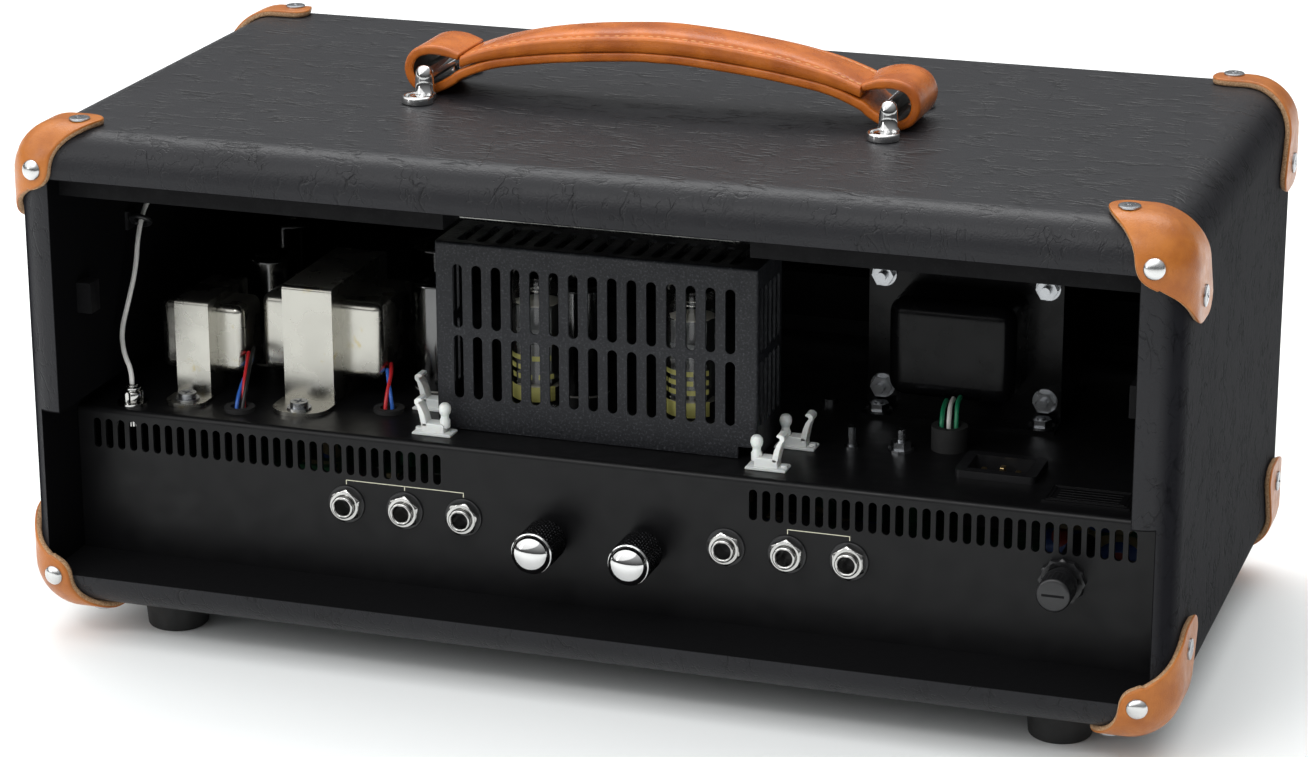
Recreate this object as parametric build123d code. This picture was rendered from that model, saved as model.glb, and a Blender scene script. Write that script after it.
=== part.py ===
from build123d import *
import math
import os

# Tube guitar amplifier head: a vinyl-covered plywood box, open at the back, with a folded steel chassis
# on its floor. Millimetres. Origin on the ground under the middle of the box, +Z up. The control panel
# faces -Y, the open back faces +Y. The reverb side is +X and the power side is -X.

# ---- driving dimensions ----
CAB_W = 480.0            # box width, X
CAB_D = 249.0            # box depth, Y
CAB_H = 204.0            # box height without feet
FOOT_H = 16.0            # rubber feet lift the box
EDGE_R = 18.0            # rounding of the four edges that run front to back
FACE_R = 15.0            # rounding of the front and back outlines
WALL = 17.0              # side wall above the chassis
GROOVE_WALL = 8.0        # side wall left beside the chassis, where it is grooved
TOP_T = 19.0
FLOOR_T = 15.0

CHASSIS_H = 61.8         # folded box without its cover
CHASSIS_REAR = 92.2      # back face of the chassis
CHASSIS_FRONT = -103.0
SHEET = 1.6              # chassis steel
COVER_T = 1.2            # bottom cover and control panel

JACK_X = (110.0, 84.2, 58.4, -53.8, -79.4, -105.0)
JACK_Z = 63.7
JACK_BORE_R = 3.25
JACK_DEPTH = 26.0
INPUT_X = 205.0
REAR_KNOB_X = (21.0, -20.0)
REAR_KNOB_Z = 60.0
KNOB_SIDES = 28
FUSE_X = -191.0
FUSE_Z = 66.0
FRONT_Z = 64.0
FRONT_KNOB_X = (160.0, 120.0, 80.0, 40.0, 0.0)
MINI_SWITCH_X = (183.0, -40.0)
PILOT_X = -100.0
POWER_SWITCH_X = (-140.0, -190.0)
POWER_TILT = 12.0        # power and standby levers, down from straight out

SLOT_PITCH = 5.46        # vent slots in the chassis back
SLOT_W = 3.4
SLOT_LOW = 76.4
SLOT_HIGH = 89.4
SLOT_FIRST_X = (222.7, -65.0)
SLOTS_PER_GROUP = 29

FEET = [(x, y) for x in (191.0, -191.0) for y in (88.0, -88.0)]
FOOT_R = 14.0
HANDLE_X = 99.5          # brackets, each side of the middle
HANDLE_Y = 2.0
STRAP_W = 30.0
STRAP_T = 4.0
POST_OUT = 20.5          # bracket posts, each side of the strap
PAD_SCREW_OUT = 8.5      # screws outside the posts
POWER_TUBES = [(38.6, 55.0), (-27.8, 55.0)]
PREAMP_TUBES = [(179.0, 8.0), (193.0, -46.0), (96.0, 20.0), (116.0, -30.0), (36.0, 8.0), (55.0, -46.0)]
SHIELD_TOP = 141.5
CAGE_X = (-60.5, 77.0)
CAGE_Y = (39.0, 72.0)
CAGE_H = 80.0
PLUG_XY = (210.5, 82.5)  # phono plug of the reverb lead
LEAD_R = 1.05

# ---- planes worked out from them ----
HALF_W = CAB_W / 2
HALF_D = CAB_D / 2
CAB_BOT = FOOT_H
CAB_TOP = FOOT_H + CAB_H
FLOOR_Z = CAB_BOT + FLOOR_T
ROOF_Z = CAB_TOP - TOP_T
CHASSIS_BOT = FLOOR_Z + COVER_T
CHASSIS_TOP = CHASSIS_BOT + CHASSIS_H
GROOVE_TOP = CHASSIS_TOP + 7.7
CHASSIS_HALF_W = HALF_W - GROOVE_WALL - 0.6
PANEL_FRONT = CHASSIS_FRONT - COVER_T
FRONT_WALL = COVER_T + SHEET


# ---- helpers ----
def block(x0, x1, y0, y1, z0, z1):
    """A box between two corners."""
    centre = ((x0 + x1) / 2, (y0 + y1) / 2, (z0 + z1) / 2)
    return Pos(*centre) * Box(x1 - x0, y1 - y0, z1 - z0)


def rod_y(x, z, radius, y0, y1):
    """A cylinder along Y."""
    return Pos(x, (y0 + y1) / 2, z) * Rot(90, 0, 0) * Cylinder(radius, y1 - y0)


def rod_z(x, y, radius, z0, z1):
    """A cylinder along Z."""
    return Pos(x, y, (z0 + z1) / 2) * Cylinder(radius, z1 - z0)


def rod_x(y, z, radius, x0, x1):
    """A cylinder along X."""
    return Pos((x0 + x1) / 2, y, z) * Rot(0, 90, 0) * Cylinder(radius, x1 - x0)


def hex_y(x, z, flats, y0, y1, hole_r):
    """A hexagon nut along Y."""
    nut = extrude(RegularPolygon(flats / 2 / math.cos(math.pi / 6), 6), y1 - y0)
    return Pos(x, y1, z) * Rot(90, 0, 0) * nut - rod_y(x, z, hole_r, y0 - 1, y1 + 1)


def rounded_box(width, depth, height, edge_r, face_r, z_mid):
    """The outside of the box: edge_r on the edges along Y, face_r round the front and back."""
    body = extrude(Plane.XZ * RectangleRounded(width, height, edge_r), depth / 2, both=True)
    body = Pos(0, 0, z_mid) * body
    outline = body.faces().filter_by(Axis.Y).edges()
    return fillet(outline, face_r)


def solids_of(shape):
    """Every solid inside a shape or a list of shapes."""
    if isinstance(shape, (list, tuple)):
        return [solid for item in shape for solid in solids_of(item)]
    return list(shape.solids())


def save(name, shape):
    """Write one node, which may hold several separate solids."""
    solids = solids_of(shape)
    body = solids[0] if len(solids) == 1 else Compound(solids)
    body.label = name
    export_step(body, f"parts/{name}.step")


def cut_all(shape, tools):
    """Take a list of tools out of one shape."""
    return shape - Compound(solids_of(tools))


def mirrored(shape, flip_x, flip_y):
    """A copy mirrored across the middle planes."""
    copy = shape
    if flip_x:
        copy = mirror(copy, Plane.YZ)
    if flip_y:
        copy = mirror(copy, Plane.XZ)
    return copy


# ---- cabinet ----
BOX_MID = (CAB_BOT + CAB_TOP) / 2
LEATHER_T = 3.0


def corner_fastener_places():
    """Nail on the front or back lobe, screws on the top and side lobes, at the +X +Y upper corner."""
    nail = (HALF_W - 11.5, HALF_D, CAB_TOP - 14.8)
    top_screw = (HALF_W - 25.0, HALF_D - 15.5, CAB_TOP)
    side_screw = (HALF_W, HALF_D - 24.0, CAB_TOP - 31.0)
    return nail, top_screw, side_screw


def corner_fasteners():
    """One domed nail and two flat screws, with their shanks, at the +X +Y upper corner."""
    nail, top_screw, side_screw = corner_fastener_places()
    skin = LEATHER_T + 0.2
    dome = Pos(nail[0], nail[1] + skin - 5.0, nail[2]) * Sphere(7.4)
    dome &= block(nail[0] - 8, nail[0] + 8, nail[1] + skin, nail[1] + skin + 5, nail[2] - 8, nail[2] + 8)
    nail_body = dome + rod_y(nail[0], nail[2], 1.2, nail[1] - 9.0, nail[1] + skin + 0.5)
    x, y, z = top_screw
    flat = rod_z(x, y, 4.3, z + skin, z + skin + 0.9) + rod_z(x, y, 1.5, z - 9.0, z + skin + 0.1)
    flat -= Pos(x, y, z + skin + 0.9) * Box(4.6, 1.1, 1.0) + Pos(x, y, z + skin + 0.9) * Box(1.1, 4.6, 1.0)
    x, y, z = side_screw
    side = rod_x(y, z, 4.3, x + skin, x + skin + 0.9) + rod_x(y, z, 1.5, x - 6.0, x + skin + 0.1)
    side -= Pos(x + skin + 0.9, y, z) * Box(1.0, 4.6, 1.1) + Pos(x + skin + 0.9, y, z) * Box(1.0, 1.1, 4.6)
    return nail_body, [flat, side]


def corner_shank_holes():
    """Holes for those shanks in the leather and the wood."""
    nail, top_screw, side_screw = corner_fastener_places()
    return [
        rod_y(nail[0], nail[2], 1.2, nail[1] - 9.0, nail[1] + 5.0),
        rod_z(top_screw[0], top_screw[1], 1.5, top_screw[2] - 9.0, top_screw[2] + 5.0),
        rod_x(side_screw[1], side_screw[2], 1.5, side_screw[0] - 6.0, side_screw[0] + 5.0),
    ]


def lobe_prism(plane, points, depth, radius):
    """A rounded outline drawn on a plane and run through the skin to depth behind it."""
    outline = make_face(Polyline(*points, close=True))
    outline = fillet(outline.vertices(), radius)
    return extrude(plane * outline, -depth)


def leather_corner():
    """Three-lobed leather patch wrapped over the +X +Y upper corner."""
    gap = 0.2
    out = 8.0
    bend = 12.0
    grow = 2 * (LEATHER_T + gap)
    outer = rounded_box(CAB_W + grow, CAB_D + grow, CAB_H + grow, EDGE_R + grow / 2, FACE_R + grow / 2, BOX_MID)
    inner = rounded_box(CAB_W + 2 * gap, CAB_D + 2 * gap, CAB_H + 2 * gap, EDGE_R + gap, FACE_R + gap, BOX_MID)
    near = block(HALF_W - 60, HALF_W + 6, HALF_D - 60, HALF_D + 6, CAB_TOP - 60, CAB_TOP + 6)
    skin = (outer & near) - inner
    top_edge = [(-out, -out), (19.5 - out, -out), (19.5, 0), (33, 13.5), (33, 26), (-out, 26)]
    side_edge = [(-out, -out), (25.5, -out), (26, 2), (38, 24), (40.5, 40), (16.5, 40), (0, 23.5), (-out, 23.5 - out)]
    rear_edge = [(-out, -out), (19, -out), (19, 24), (-out, 24)]
    top = lobe_prism(Plane.XY.offset(CAB_TOP + out),
                     [(HALF_W - a, HALF_D - b) for a, b in top_edge], out + bend, 5.0)
    side = lobe_prism(Plane.YZ.offset(HALF_W + out),
                      [(HALF_D - b, CAB_TOP - c) for b, c in side_edge], out + bend, 6.0)
    rear = lobe_prism(Plane((0, HALF_D + out, 0), x_dir=(-1, 0, 0), z_dir=(0, 1, 0)),
                      [(a - HALF_W, CAB_TOP - c) for a, c in rear_edge], out + bend, 7.9)
    return max(solids_of(skin & (top + side + rear)), key=lambda piece: piece.volume)


def at_all_corners(shape, upper):
    """Copies of a piece of the +X +Y upper corner at the four upper or four lower corners."""
    base = shape if upper else mirror(shape, Plane.XY.offset(BOX_MID))
    return [mirrored(base, flip_x, flip_y) for flip_x in (False, True) for flip_y in (False, True)]


def cabinet_shell(shank_holes):
    """The vinyl-covered box with its through opening, side grooves and screw holes."""
    box = rounded_box(CAB_W, CAB_D, CAB_H, EDGE_R, FACE_R, BOX_MID)
    box -= block(-HALF_W + WALL, HALF_W - WALL, -HALF_D - 1, HALF_D + 1, GROOVE_TOP - 1, ROOF_Z)
    groove = HALF_W - GROOVE_WALL
    box -= block(-groove, groove, -HALF_D - 1, HALF_D + 1, FLOOR_Z, GROOVE_TOP)
    return cut_all(box, shank_holes)


def foot_parts():
    """Tapered rubber feet with a recess for the screw, and the screws."""
    feet = []
    screws = []
    seat = FOOT_H - 5.6
    for x, y in FEET:
        foot = Pos(x, y, FOOT_H / 2) * Cone(FOOT_R - 1.4, FOOT_R, FOOT_H)
        foot = fillet(foot.edges().group_by(Axis.Z)[0], 1.5)
        foot -= rod_z(x, y, 5.2, -1, seat) + rod_z(x, y, 2.3, seat - 1, FOOT_H + 1)
        feet.append(foot)
        screw = rod_z(x, y, 4.6, seat - 2.4, seat) + rod_z(x, y, 2.2, seat - 1.0, FOOT_H + 12.0)
        screw -= Pos(x, y, seat - 2.4) * Box(5.0, 1.1, 1.6)
        screws.append(screw)
    return feet, screws


CHASSIS_BOLTS = [(x, y) for x in (150.0, -150.0) for y in (70.0, -70.0)]


def bottom_screw_holes():
    """Holes in the cabinet floor for the feet and chassis screws."""
    holes = [rod_z(x, y, 2.2, CAB_BOT - 1, FOOT_H + 12.0) for x, y in FEET]
    holes += [rod_z(x, y, 2.6, CAB_BOT - 1, FLOOR_Z + 1) for x, y in CHASSIS_BOLTS]
    return holes


def chassis_bolt_set():
    """Pan head bolts with washers that hold the chassis down from under the floor."""
    bolts = []
    for x, y in CHASSIS_BOLTS:
        head = fillet(rod_z(x, y, 4.8, CAB_BOT - 4.0, CAB_BOT - 1.0).edges().group_by(Axis.Z)[0], 1.2)
        washer = rod_z(x, y, 7.5, CAB_BOT - 1.0, CAB_BOT)
        shank = rod_z(x, y, 2.5, CAB_BOT - 1.5, CHASSIS_BOT + 3.0)
        bolts.append(head + washer + shank)
    return bolts


def handle_brackets():
    """Chrome handle brackets: a cross bar on two posts, each post with a screwed pad outside it."""
    brackets = []
    screws = []
    bar_z = CAB_TOP + 10.0
    for side in (1, -1):
        x = side * HANDLE_X
        bracket = rod_y(x, bar_z, 3.6, HANDLE_Y - POST_OUT, HANDLE_Y + POST_OUT)
        for end in (1, -1):
            y = HANDLE_Y + end * POST_OUT
            bracket += Pos(x, y, CAB_TOP + 5.0) * Cone(4.8, 3.6, 10.0)
            bracket += Pos(x, y, bar_z) * Sphere(3.6)
            pad = extrude(SlotOverall(18.0, 13.0, rotation=90), 3.0)
            bracket += Pos(x, y + end * 6.5, CAB_TOP) * pad
            screw_y = y + end * PAD_SCREW_OUT
            bracket -= rod_z(x, screw_y, 1.8, CAB_TOP - 1, CAB_TOP + 9)
            bracket -= rod_z(x, screw_y, 4.4, CAB_TOP + 2.0, CAB_TOP + 9)
            head = rod_z(x, screw_y, 4.1, CAB_TOP + 2.0, CAB_TOP + 3.2)
            head -= Pos(x, screw_y, CAB_TOP + 3.2) * (Box(5, 1, 1.2) + Box(1, 5, 1.2))
            screws.append(head + rod_z(x, screw_y, 1.7, CAB_TOP - 12.0, CAB_TOP + 2.5))
        brackets.append(bracket)
    holes = [rod_z(side * HANDLE_X, HANDLE_Y + end * (POST_OUT + PAD_SCREW_OUT), 1.7, CAB_TOP - 12.0, CAB_TOP + 1)
             for side in (1, -1) for end in (1, -1)]
    return brackets, screws, holes


def band_face(points, thickness, samples=90):
    """The side view of a strap of even thickness that follows a smooth line through the points."""
    middle = Spline(*points)
    sides = ([], [])
    for n in range(samples + 1):
        place = middle.position_at(n / samples)
        along = middle.tangent_at(n / samples)
        step = Vector(-along.Y, along.X, 0) * (thickness / 2)
        sides[0].append(place + step)
        sides[1].append(place - step)
    ends = [Line(sides[0][0], sides[1][0]), Line(sides[0][-1], sides[1][-1])]
    return make_face([Spline(*sides[0]), Spline(*sides[1]), *ends])


def handle_strap():
    """Leather strap whose two ends loop round the cross bars, and the padded upper layer stitched to it."""
    loop_x, loop_z = HANDLE_X + 1.0, CAB_TOP + 10.5
    loop_r = 8.5
    diagonal = loop_r * 0.7071
    crown = CAB_TOP + 22.5
    underside = [(12, crown - 0.2), (37, crown - 2.3), (54, crown - 4.4), (72, crown - 7.6), (85.3, crown - 12.6),
                 (90, crown - 15.9), (95.3, crown - 18.8)]
    loop = [(loop_x, loop_z - loop_r), (loop_x + diagonal, loop_z - diagonal), (loop_x + loop_r, loop_z),
            (loop_x + diagonal, loop_z + diagonal), (loop_x, loop_z + loop_r), (loop_x - 7.2, loop_z + 8.2),
            (loop_x - 13.7, loop_z + 6.4)]
    half = underside + loop
    band = band_face([(-x, z) for x, z in reversed(half)] + [(0, crown)] + half, STRAP_T)
    seam = [(x, z + STRAP_T / 2 + 0.15) for x, z in [(0, crown)] + underside[:4]] + [(85.6, crown - 9.9)]
    top = [(0, crown + 8.8), (20, crown + 7.7), (37, crown + 6.0), (54, crown + 3.5), (70, crown + 0.3),
           (79, crown - 2.5), (85.6, crown - 4.6)]
    low_line = Spline(*[(-x, z) for x, z in reversed(seam[1:])], *seam)
    top_line = Spline(*[(-x, z) for x, z in reversed(top[1:])], *top)
    pad = make_face([low_line, top_line, Line(low_line @ 0, top_line @ 0), Line(low_line @ 1, top_line @ 1)])
    strap = extrude(Plane.XZ * band, STRAP_W / 2, both=True)
    cushion = extrude(Plane.XZ * pad, STRAP_W / 2, both=True)
    rims = [e for e in cushion.edges() if abs(abs(e.center().Y) - STRAP_W / 2) < 0.1 and e.center().Z > crown + 4]
    cushion = fillet(rims, 2.0)
    return Pos(0, HANDLE_Y, 0) * strap, Pos(0, HANDLE_Y, 0) * cushion


def front_baffle():
    """Wooden baffle above the control panel with a window, and the cloth stretched over its face."""
    half = HALF_W - WALL - 0.4
    low = GROOVE_TOP + 0.4
    back = -HALF_D + 26.0
    face = -HALF_D + 12.0
    board = block(-half, half, face, back, low, ROOF_Z - 0.4)
    board -= block(-half + 24, half - 24, face - 1, back + 1, low + 20, ROOF_Z - 20)
    cloth = block(-half, half, face - 1.6, face, low, ROOF_Z - 0.4)
    return board, cloth


def rear_rails():
    """Two rails under the roof with a gap over the tube cage, and the stop tabs on the side walls."""
    y_back = HALF_D - 10.0
    inner = HALF_W - WALL
    rails = [
        block(56.0, inner, y_back - 18.0, y_back, ROOF_Z - 9.0, ROOF_Z),
        block(-inner, -70.0, y_back - 18.0, y_back, ROOF_Z - 9.0, ROOF_Z),
    ]
    tab_z = CHASSIS_TOP + 45.0
    rails += [block(side * (inner - 3.2) - 3.2, side * (inner - 3.2) + 3.2, 96.0, 104.0, tab_z, tab_z + 13.0)
              for side in (1, -1)]
    return rails


# ---- chassis ----
INLET = (-156.5, 53.0)      # power inlet centre
INLET_FLANGE = (33.0, 25.0)
INLET_BODY = (27.0, 19.6)
INLET_CAVITY = (24.2, 16.4)
PT = {"x": -126.0, "core_half_w": 41.0, "core_y": (-46.0, -8.0), "core_z": (97.0, 159.0)}
PT_BOLTS = [(x, z) for x in (-34.5, 34.5) for z in (105.0, 153.4)]
PT_FEET = [(PT["x"] + x, y) for x in (-34.5, 34.5) for y in (-0.4, -53.6)]
SMALL_T = {"x": 189.0, "half": 7.7, "y": (27.0, 67.5), "top": 136.5, "coil_x": (170.0, 207.5),
           "coil_y": (37.0, 59.0), "coil_z": (103.0, 133.0), "foot": 14.0, "front_foot": 6.0}
OUTPUT_T = {"x": 139.5, "half": 11.2, "y": (-1.0, 60.0), "top": 145.0, "coil_x": (110.5, 165.0),
            "coil_y": (10.0, 50.0), "coil_z": (103.5, 137.0), "foot": 18.0, "front_foot": 14.0}
GROMMETS = [(164.0, 77.0), (104.0, 59.0)]
BUSHING = (-130.0, 33.0)
STUDS = [(-92.0, 43.6), (-68.0, -9.0)]
STAR_NUT = (-112.0, 41.0)
PLATE = (-197.0, 74.0)


def slot_tools():
    """The two rows of upright vent slots in the chassis back."""
    tools = []
    height = SLOT_HIGH - SLOT_LOW
    shape = extrude(Plane.XZ * SlotOverall(height, SLOT_W, rotation=90), 4.0, both=True)
    for first_x in SLOT_FIRST_X:
        for n in range(SLOTS_PER_GROUP):
            tools.append(Pos(first_x - n * SLOT_PITCH, CHASSIS_REAR, (SLOT_LOW + SLOT_HIGH) / 2) * shape)
    return tools


def chassis():
    """Folded steel chassis, open underneath, with every hole that its parts need."""
    w = CHASSIS_HALF_W
    shell = block(-w, w, CHASSIS_FRONT, CHASSIS_REAR, CHASSIS_BOT, CHASSIS_TOP)
    bend = [e for e in shell.edges().filter_by(Axis.X) if e.center().Z > CHASSIS_TOP - 1]
    shell = fillet(bend, 2.4)
    shell -= block(-w + SHEET, w - SHEET, CHASSIS_FRONT + SHEET, CHASSIS_REAR - SHEET,
                   CHASSIS_BOT - 1, CHASSIS_TOP - SHEET)
    tools = slot_tools()
    y0, y1 = CHASSIS_REAR - 4, CHASSIS_REAR + 4
    tools += [rod_y(x, JACK_Z, 4.8, y0, y1) for x in JACK_X]
    tools += [rod_y(x, REAR_KNOB_Z, 3.7, y0, y1) for x in REAR_KNOB_X]
    tools.append(rod_y(FUSE_X, FUSE_Z, 6.3, y0, y1))
    y0, y1 = CHASSIS_FRONT - 4, CHASSIS_FRONT + 4
    tools += front_holes(y0, y1)
    z0, z1 = CHASSIS_TOP - 4, CHASSIS_TOP + 4
    tools += [rod_z(x, y, 9.6, z0, z1) for x, y in POWER_TUBES + PREAMP_TUBES]
    tools += [rod_z(x, y, 4.6, z0, z1) for x, y in GROMMETS]
    tools.append(rod_z(*BUSHING, 5.6, z0, z1))
    tools.append(rod_z(*PLUG_XY, 4.1, z0, z1))
    tools += [rod_z(x, y, 2.0, z0, z1) for x, y in STUDS + [STAR_NUT] + PT_FEET + bracket_screws()]
    bx, by = INLET_BODY
    tools.append(Pos(*INLET, CHASSIS_TOP) * Box(bx + 0.4, by + 0.4, 8))
    return cut_all(shell, tools)


def front_holes(y0, y1):
    """Holes shared by the chassis front and the control panel."""
    holes = [rod_y(x, FRONT_Z, 3.7, y0, y1) for x in FRONT_KNOB_X]
    holes += [rod_y(x, FRONT_Z, 3.2, y0, y1) for x in MINI_SWITCH_X]
    holes += [rod_y(x, FRONT_Z, 6.1, y0, y1) for x in POWER_SWITCH_X]
    holes += [rod_y(PILOT_X, FRONT_Z, 6.1, y0, y1), rod_y(INPUT_X, FRONT_Z, 4.8, y0, y1)]
    return holes


def control_panel():
    """Front panel plate over the chassis front."""
    half = CHASSIS_HALF_W
    plate = block(-half, half, PANEL_FRONT, CHASSIS_FRONT, FLOOR_Z + 0.6, GROOVE_TOP - 0.6)
    return cut_all(plate, front_holes(PANEL_FRONT - 1, CHASSIS_FRONT + 1))


def bottom_cover():
    """Flat steel cover under the chassis with holes for the chassis bolts."""
    half = CHASSIS_HALF_W
    plate = block(-half, half, CHASSIS_FRONT, CHASSIS_REAR, FLOOR_Z, CHASSIS_BOT)
    return cut_all(plate, [rod_z(x, y, 2.6, FLOOR_Z - 1, CHASSIS_BOT + 1) for x, y in CHASSIS_BOLTS])


BOARD_Z = 44.0
BOARD_T = 1.6
BOARD = (-222.0, 222.0, -70.0, 50.0)


def circuit_board():
    """Main circuit board and its four spacers on the bottom cover."""
    board = block(*BOARD, BOARD_Z, BOARD_Z + BOARD_T)
    spots = [(x, y) for x in (BOARD[0] + 8, BOARD[1] - 8) for y in (BOARD[2] + 8, BOARD[3] - 8)]
    board = cut_all(board, [rod_z(x, y, 1.6, BOARD_Z - 1, BOARD_Z + 4) for x, y in spots])
    spacers = [rod_z(x, y, 3.5, CHASSIS_BOT, BOARD_Z) + rod_z(x, y, 1.5, BOARD_Z, BOARD_Z + 3.6)
               for x, y in spots]
    return board, spacers


def board_components():
    """Filter capacitors, coupling capacitors and resistors standing on the board."""
    top = BOARD_Z + BOARD_T
    parts = []
    for n in range(5):
        parts.append(rod_x(-50.0 + n * 19.0, top + 8.0, 8.0, -212.0, -170.0))
    for n in range(9):
        parts.append(block(-100.0 + n * 30.0, -84.0 + n * 30.0, 30.0, 37.0, top, top + 12.0))
    for n in range(14):
        parts.append(rod_y(-110.0 + n * 20.0, top + 2.5, 2.2, -55.0, -42.0))
    for n in range(8):
        parts.append(rod_z(-105.0 + n * 38.0, -10.0, 5.0, top, top + 14.0))
    return parts


# ---- back panel ----
def jack_body(x, z, face, direction, wall):
    """Quarter inch jack: box behind the panel and a threaded bush through it, with a blind bore."""
    tip = face + direction * 6.0
    back = face - direction * wall
    inner = back - direction * (JACK_DEPTH - 6.0)
    body = block(x - 9, x + 9, *sorted((inner, back)), z - 9, z + 9)
    body += rod_y(x, z, 4.7, *sorted((back, tip)))
    return body - rod_y(x, z, JACK_BORE_R, *sorted((tip - direction * JACK_DEPTH, tip + direction)))


def washer_y(x, z, outer, y0, y1, hole_r):
    """A flat washer along Y."""
    return rod_y(x, z, outer, y0, y1) - rod_y(x, z, hole_r, y0 - 1, y1 + 1)


def jack_hardware():
    """Washers and hexagon nuts of the six back jacks and the input jack."""
    face = CHASSIS_REAR
    washers = [washer_y(x, JACK_Z, 8.0, face, face + 0.8, 4.8) for x in JACK_X]
    nuts = [hex_y(x, JACK_Z, 12.7, face + 0.8, face + 3.6, 4.75) for x in JACK_X]
    washers.append(washer_y(INPUT_X, FRONT_Z, 8.0, PANEL_FRONT - 0.8, PANEL_FRONT, 4.8))
    nuts.append(hex_y(INPUT_X, FRONT_Z, 12.7, PANEL_FRONT - 3.6, PANEL_FRONT - 0.8, 4.75))
    return washers, nuts


def potentiometer(x, z, face, direction, wall, shaft_tip):
    """Control with a round can behind the panel, a threaded bush through it and a shaft."""
    back = face - direction * wall
    can = rod_y(x, z, 8.2, *sorted((back - direction * 10.0, back)))
    bush = rod_y(x, z, 3.6, *sorted((back, face + direction * 3.6)))
    shaft = rod_y(x, z, 3.0, *sorted((face + direction * 3.6, shaft_tip)))
    return can + bush + shaft


def rear_knob(x):
    """Knurled knob with a domed end, bored for its shaft."""
    y0 = CHASSIS_REAR + 4.4
    y1 = CHASSIS_REAR + 21.5
    grip = Plane((x, y0, REAR_KNOB_Z), z_dir=(0, 1, 0)) * extrude(RegularPolygon(8.9, KNOB_SIDES), y1 - y0)
    dome = Pos(x, y1, REAR_KNOB_Z) * Sphere(8.4)
    dome &= block(x - 10, x + 10, y1 - 0.1, y1 + 6.2, REAR_KNOB_Z - 10, REAR_KNOB_Z + 10)
    return grip + dome - rod_y(x, REAR_KNOB_Z, 3.05, y0 - 1, y0 + 12.2)


def fuse_parts():
    """Bayonet fuse holder, its nut, the turning cap and the glass fuse inside."""
    face = CHASSIS_REAR
    holder = rod_y(FUSE_X, FUSE_Z, 6.2, face - 38.0, face + 5.0)
    holder += hex_y(FUSE_X, FUSE_Z, 16.4, face, face + 2.6, 6.1)
    holder += hex_y(FUSE_X, FUSE_Z, 15.0, face - SHEET - 3.0, face - SHEET, 6.1)
    holder -= rod_y(FUSE_X, FUSE_Z, 4.4, face - 34.0, face + 6.0)
    cap = rod_y(FUSE_X, FUSE_Z, 7.0, face + 5.4, face + 18.0)
    cap = fillet(cap.edges().group_by(Axis.Y)[-1], 1.2)
    cap += rod_y(FUSE_X, FUSE_Z, 4.3, face - 2.0, face + 6.0)
    cap -= Pos(FUSE_X, face + 18.0, FUSE_Z) * Box(9.0, 2.4, 1.2)
    fuse = rod_y(FUSE_X, FUSE_Z, 2.6, face - 30.0, face - 10.0)
    return holder, cap, fuse


def power_inlet():
    """Three-pin power inlet set in the chassis top, opening upwards."""
    x, y = INLET
    fx, fy = INLET_FLANGE
    bx, by = INLET_BODY
    cx, cy = INLET_CAVITY
    low = CHASSIS_TOP - 21.0
    flange = block(x - fx / 2, x + fx / 2, y - fy / 2, y + fy / 2, CHASSIS_TOP, CHASSIS_TOP + 3.0)
    flange = fillet(flange.edges().filter_by(Axis.Z), 2.5)
    body = flange + block(x - bx / 2, x + bx / 2, y - by / 2, y + by / 2, low, CHASSIS_TOP + 0.5)
    body -= block(x - cx / 2, x + cx / 2, y - cy / 2, y + cy / 2, low + 3.0, CHASSIS_TOP + 5.0)
    for dx, dy in ((0, 2.0), (7.0, -2.0), (-7.0, -2.0)):
        body += Pos(x + dx, y + dy, low + 10.0) * Box(2.0, 4.0, 15.0)
    return body


# ---- transformers ----
def bracket_screws():
    """Screw places of the two channel-bracket transformers."""
    places = []
    for t in (SMALL_T, OUTPUT_T):
        places.append((t["x"], t["y"][1] + t["foot"] - 7.0))
    places.append((OUTPUT_T["x"], OUTPUT_T["y"][0] - OUTPUT_T["front_foot"] + 7.0))
    return places


def channel_transformer(t):
    """Channel bracket with feet round a laminated core, and the covered coil through it."""
    x, half = t["x"], t["half"]
    y0, y1 = t["y"]
    floor = CHASSIS_TOP
    frame = block(x - half, x + half, y0, y1, floor, t["top"])
    frame = fillet([e for e in frame.edges().filter_by(Axis.X) if e.center().Z > t["top"] - 1], 2.0)
    rear_foot = block(x - half - 1.2, x + half + 1.2, y1 - 0.5, y1 + t["foot"], floor, floor + 1.6)
    rear_foot = fillet([e for e in rear_foot.edges().filter_by(Axis.Z) if e.center().Y > y1 + 1], half - 1.0)
    front_foot = block(x - half, x + half, y0 - t["front_foot"], y0 + 0.5, floor, floor + 1.6)
    frame = frame + rear_foot + front_foot
    cx0, cx1 = t["coil_x"]
    cy0, cy1 = t["coil_y"]
    cz0, cz1 = t["coil_z"]
    coil = block(cx0, cx1, cy0, cy1, cz0, cz1)
    coil = fillet(coil.edges(), 3.6)
    frame -= block(x - half - 1, x + half + 1, cy0 - 0.05, cy1 + 0.05, cz0 - 0.05, cz1 + 0.05)
    holes = [rod_z(hx, hy, 2.0, floor - 1, floor + 4) for hx, hy in bracket_screws() if abs(hx - x) < 1]
    return cut_all(frame, holes), coil


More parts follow.
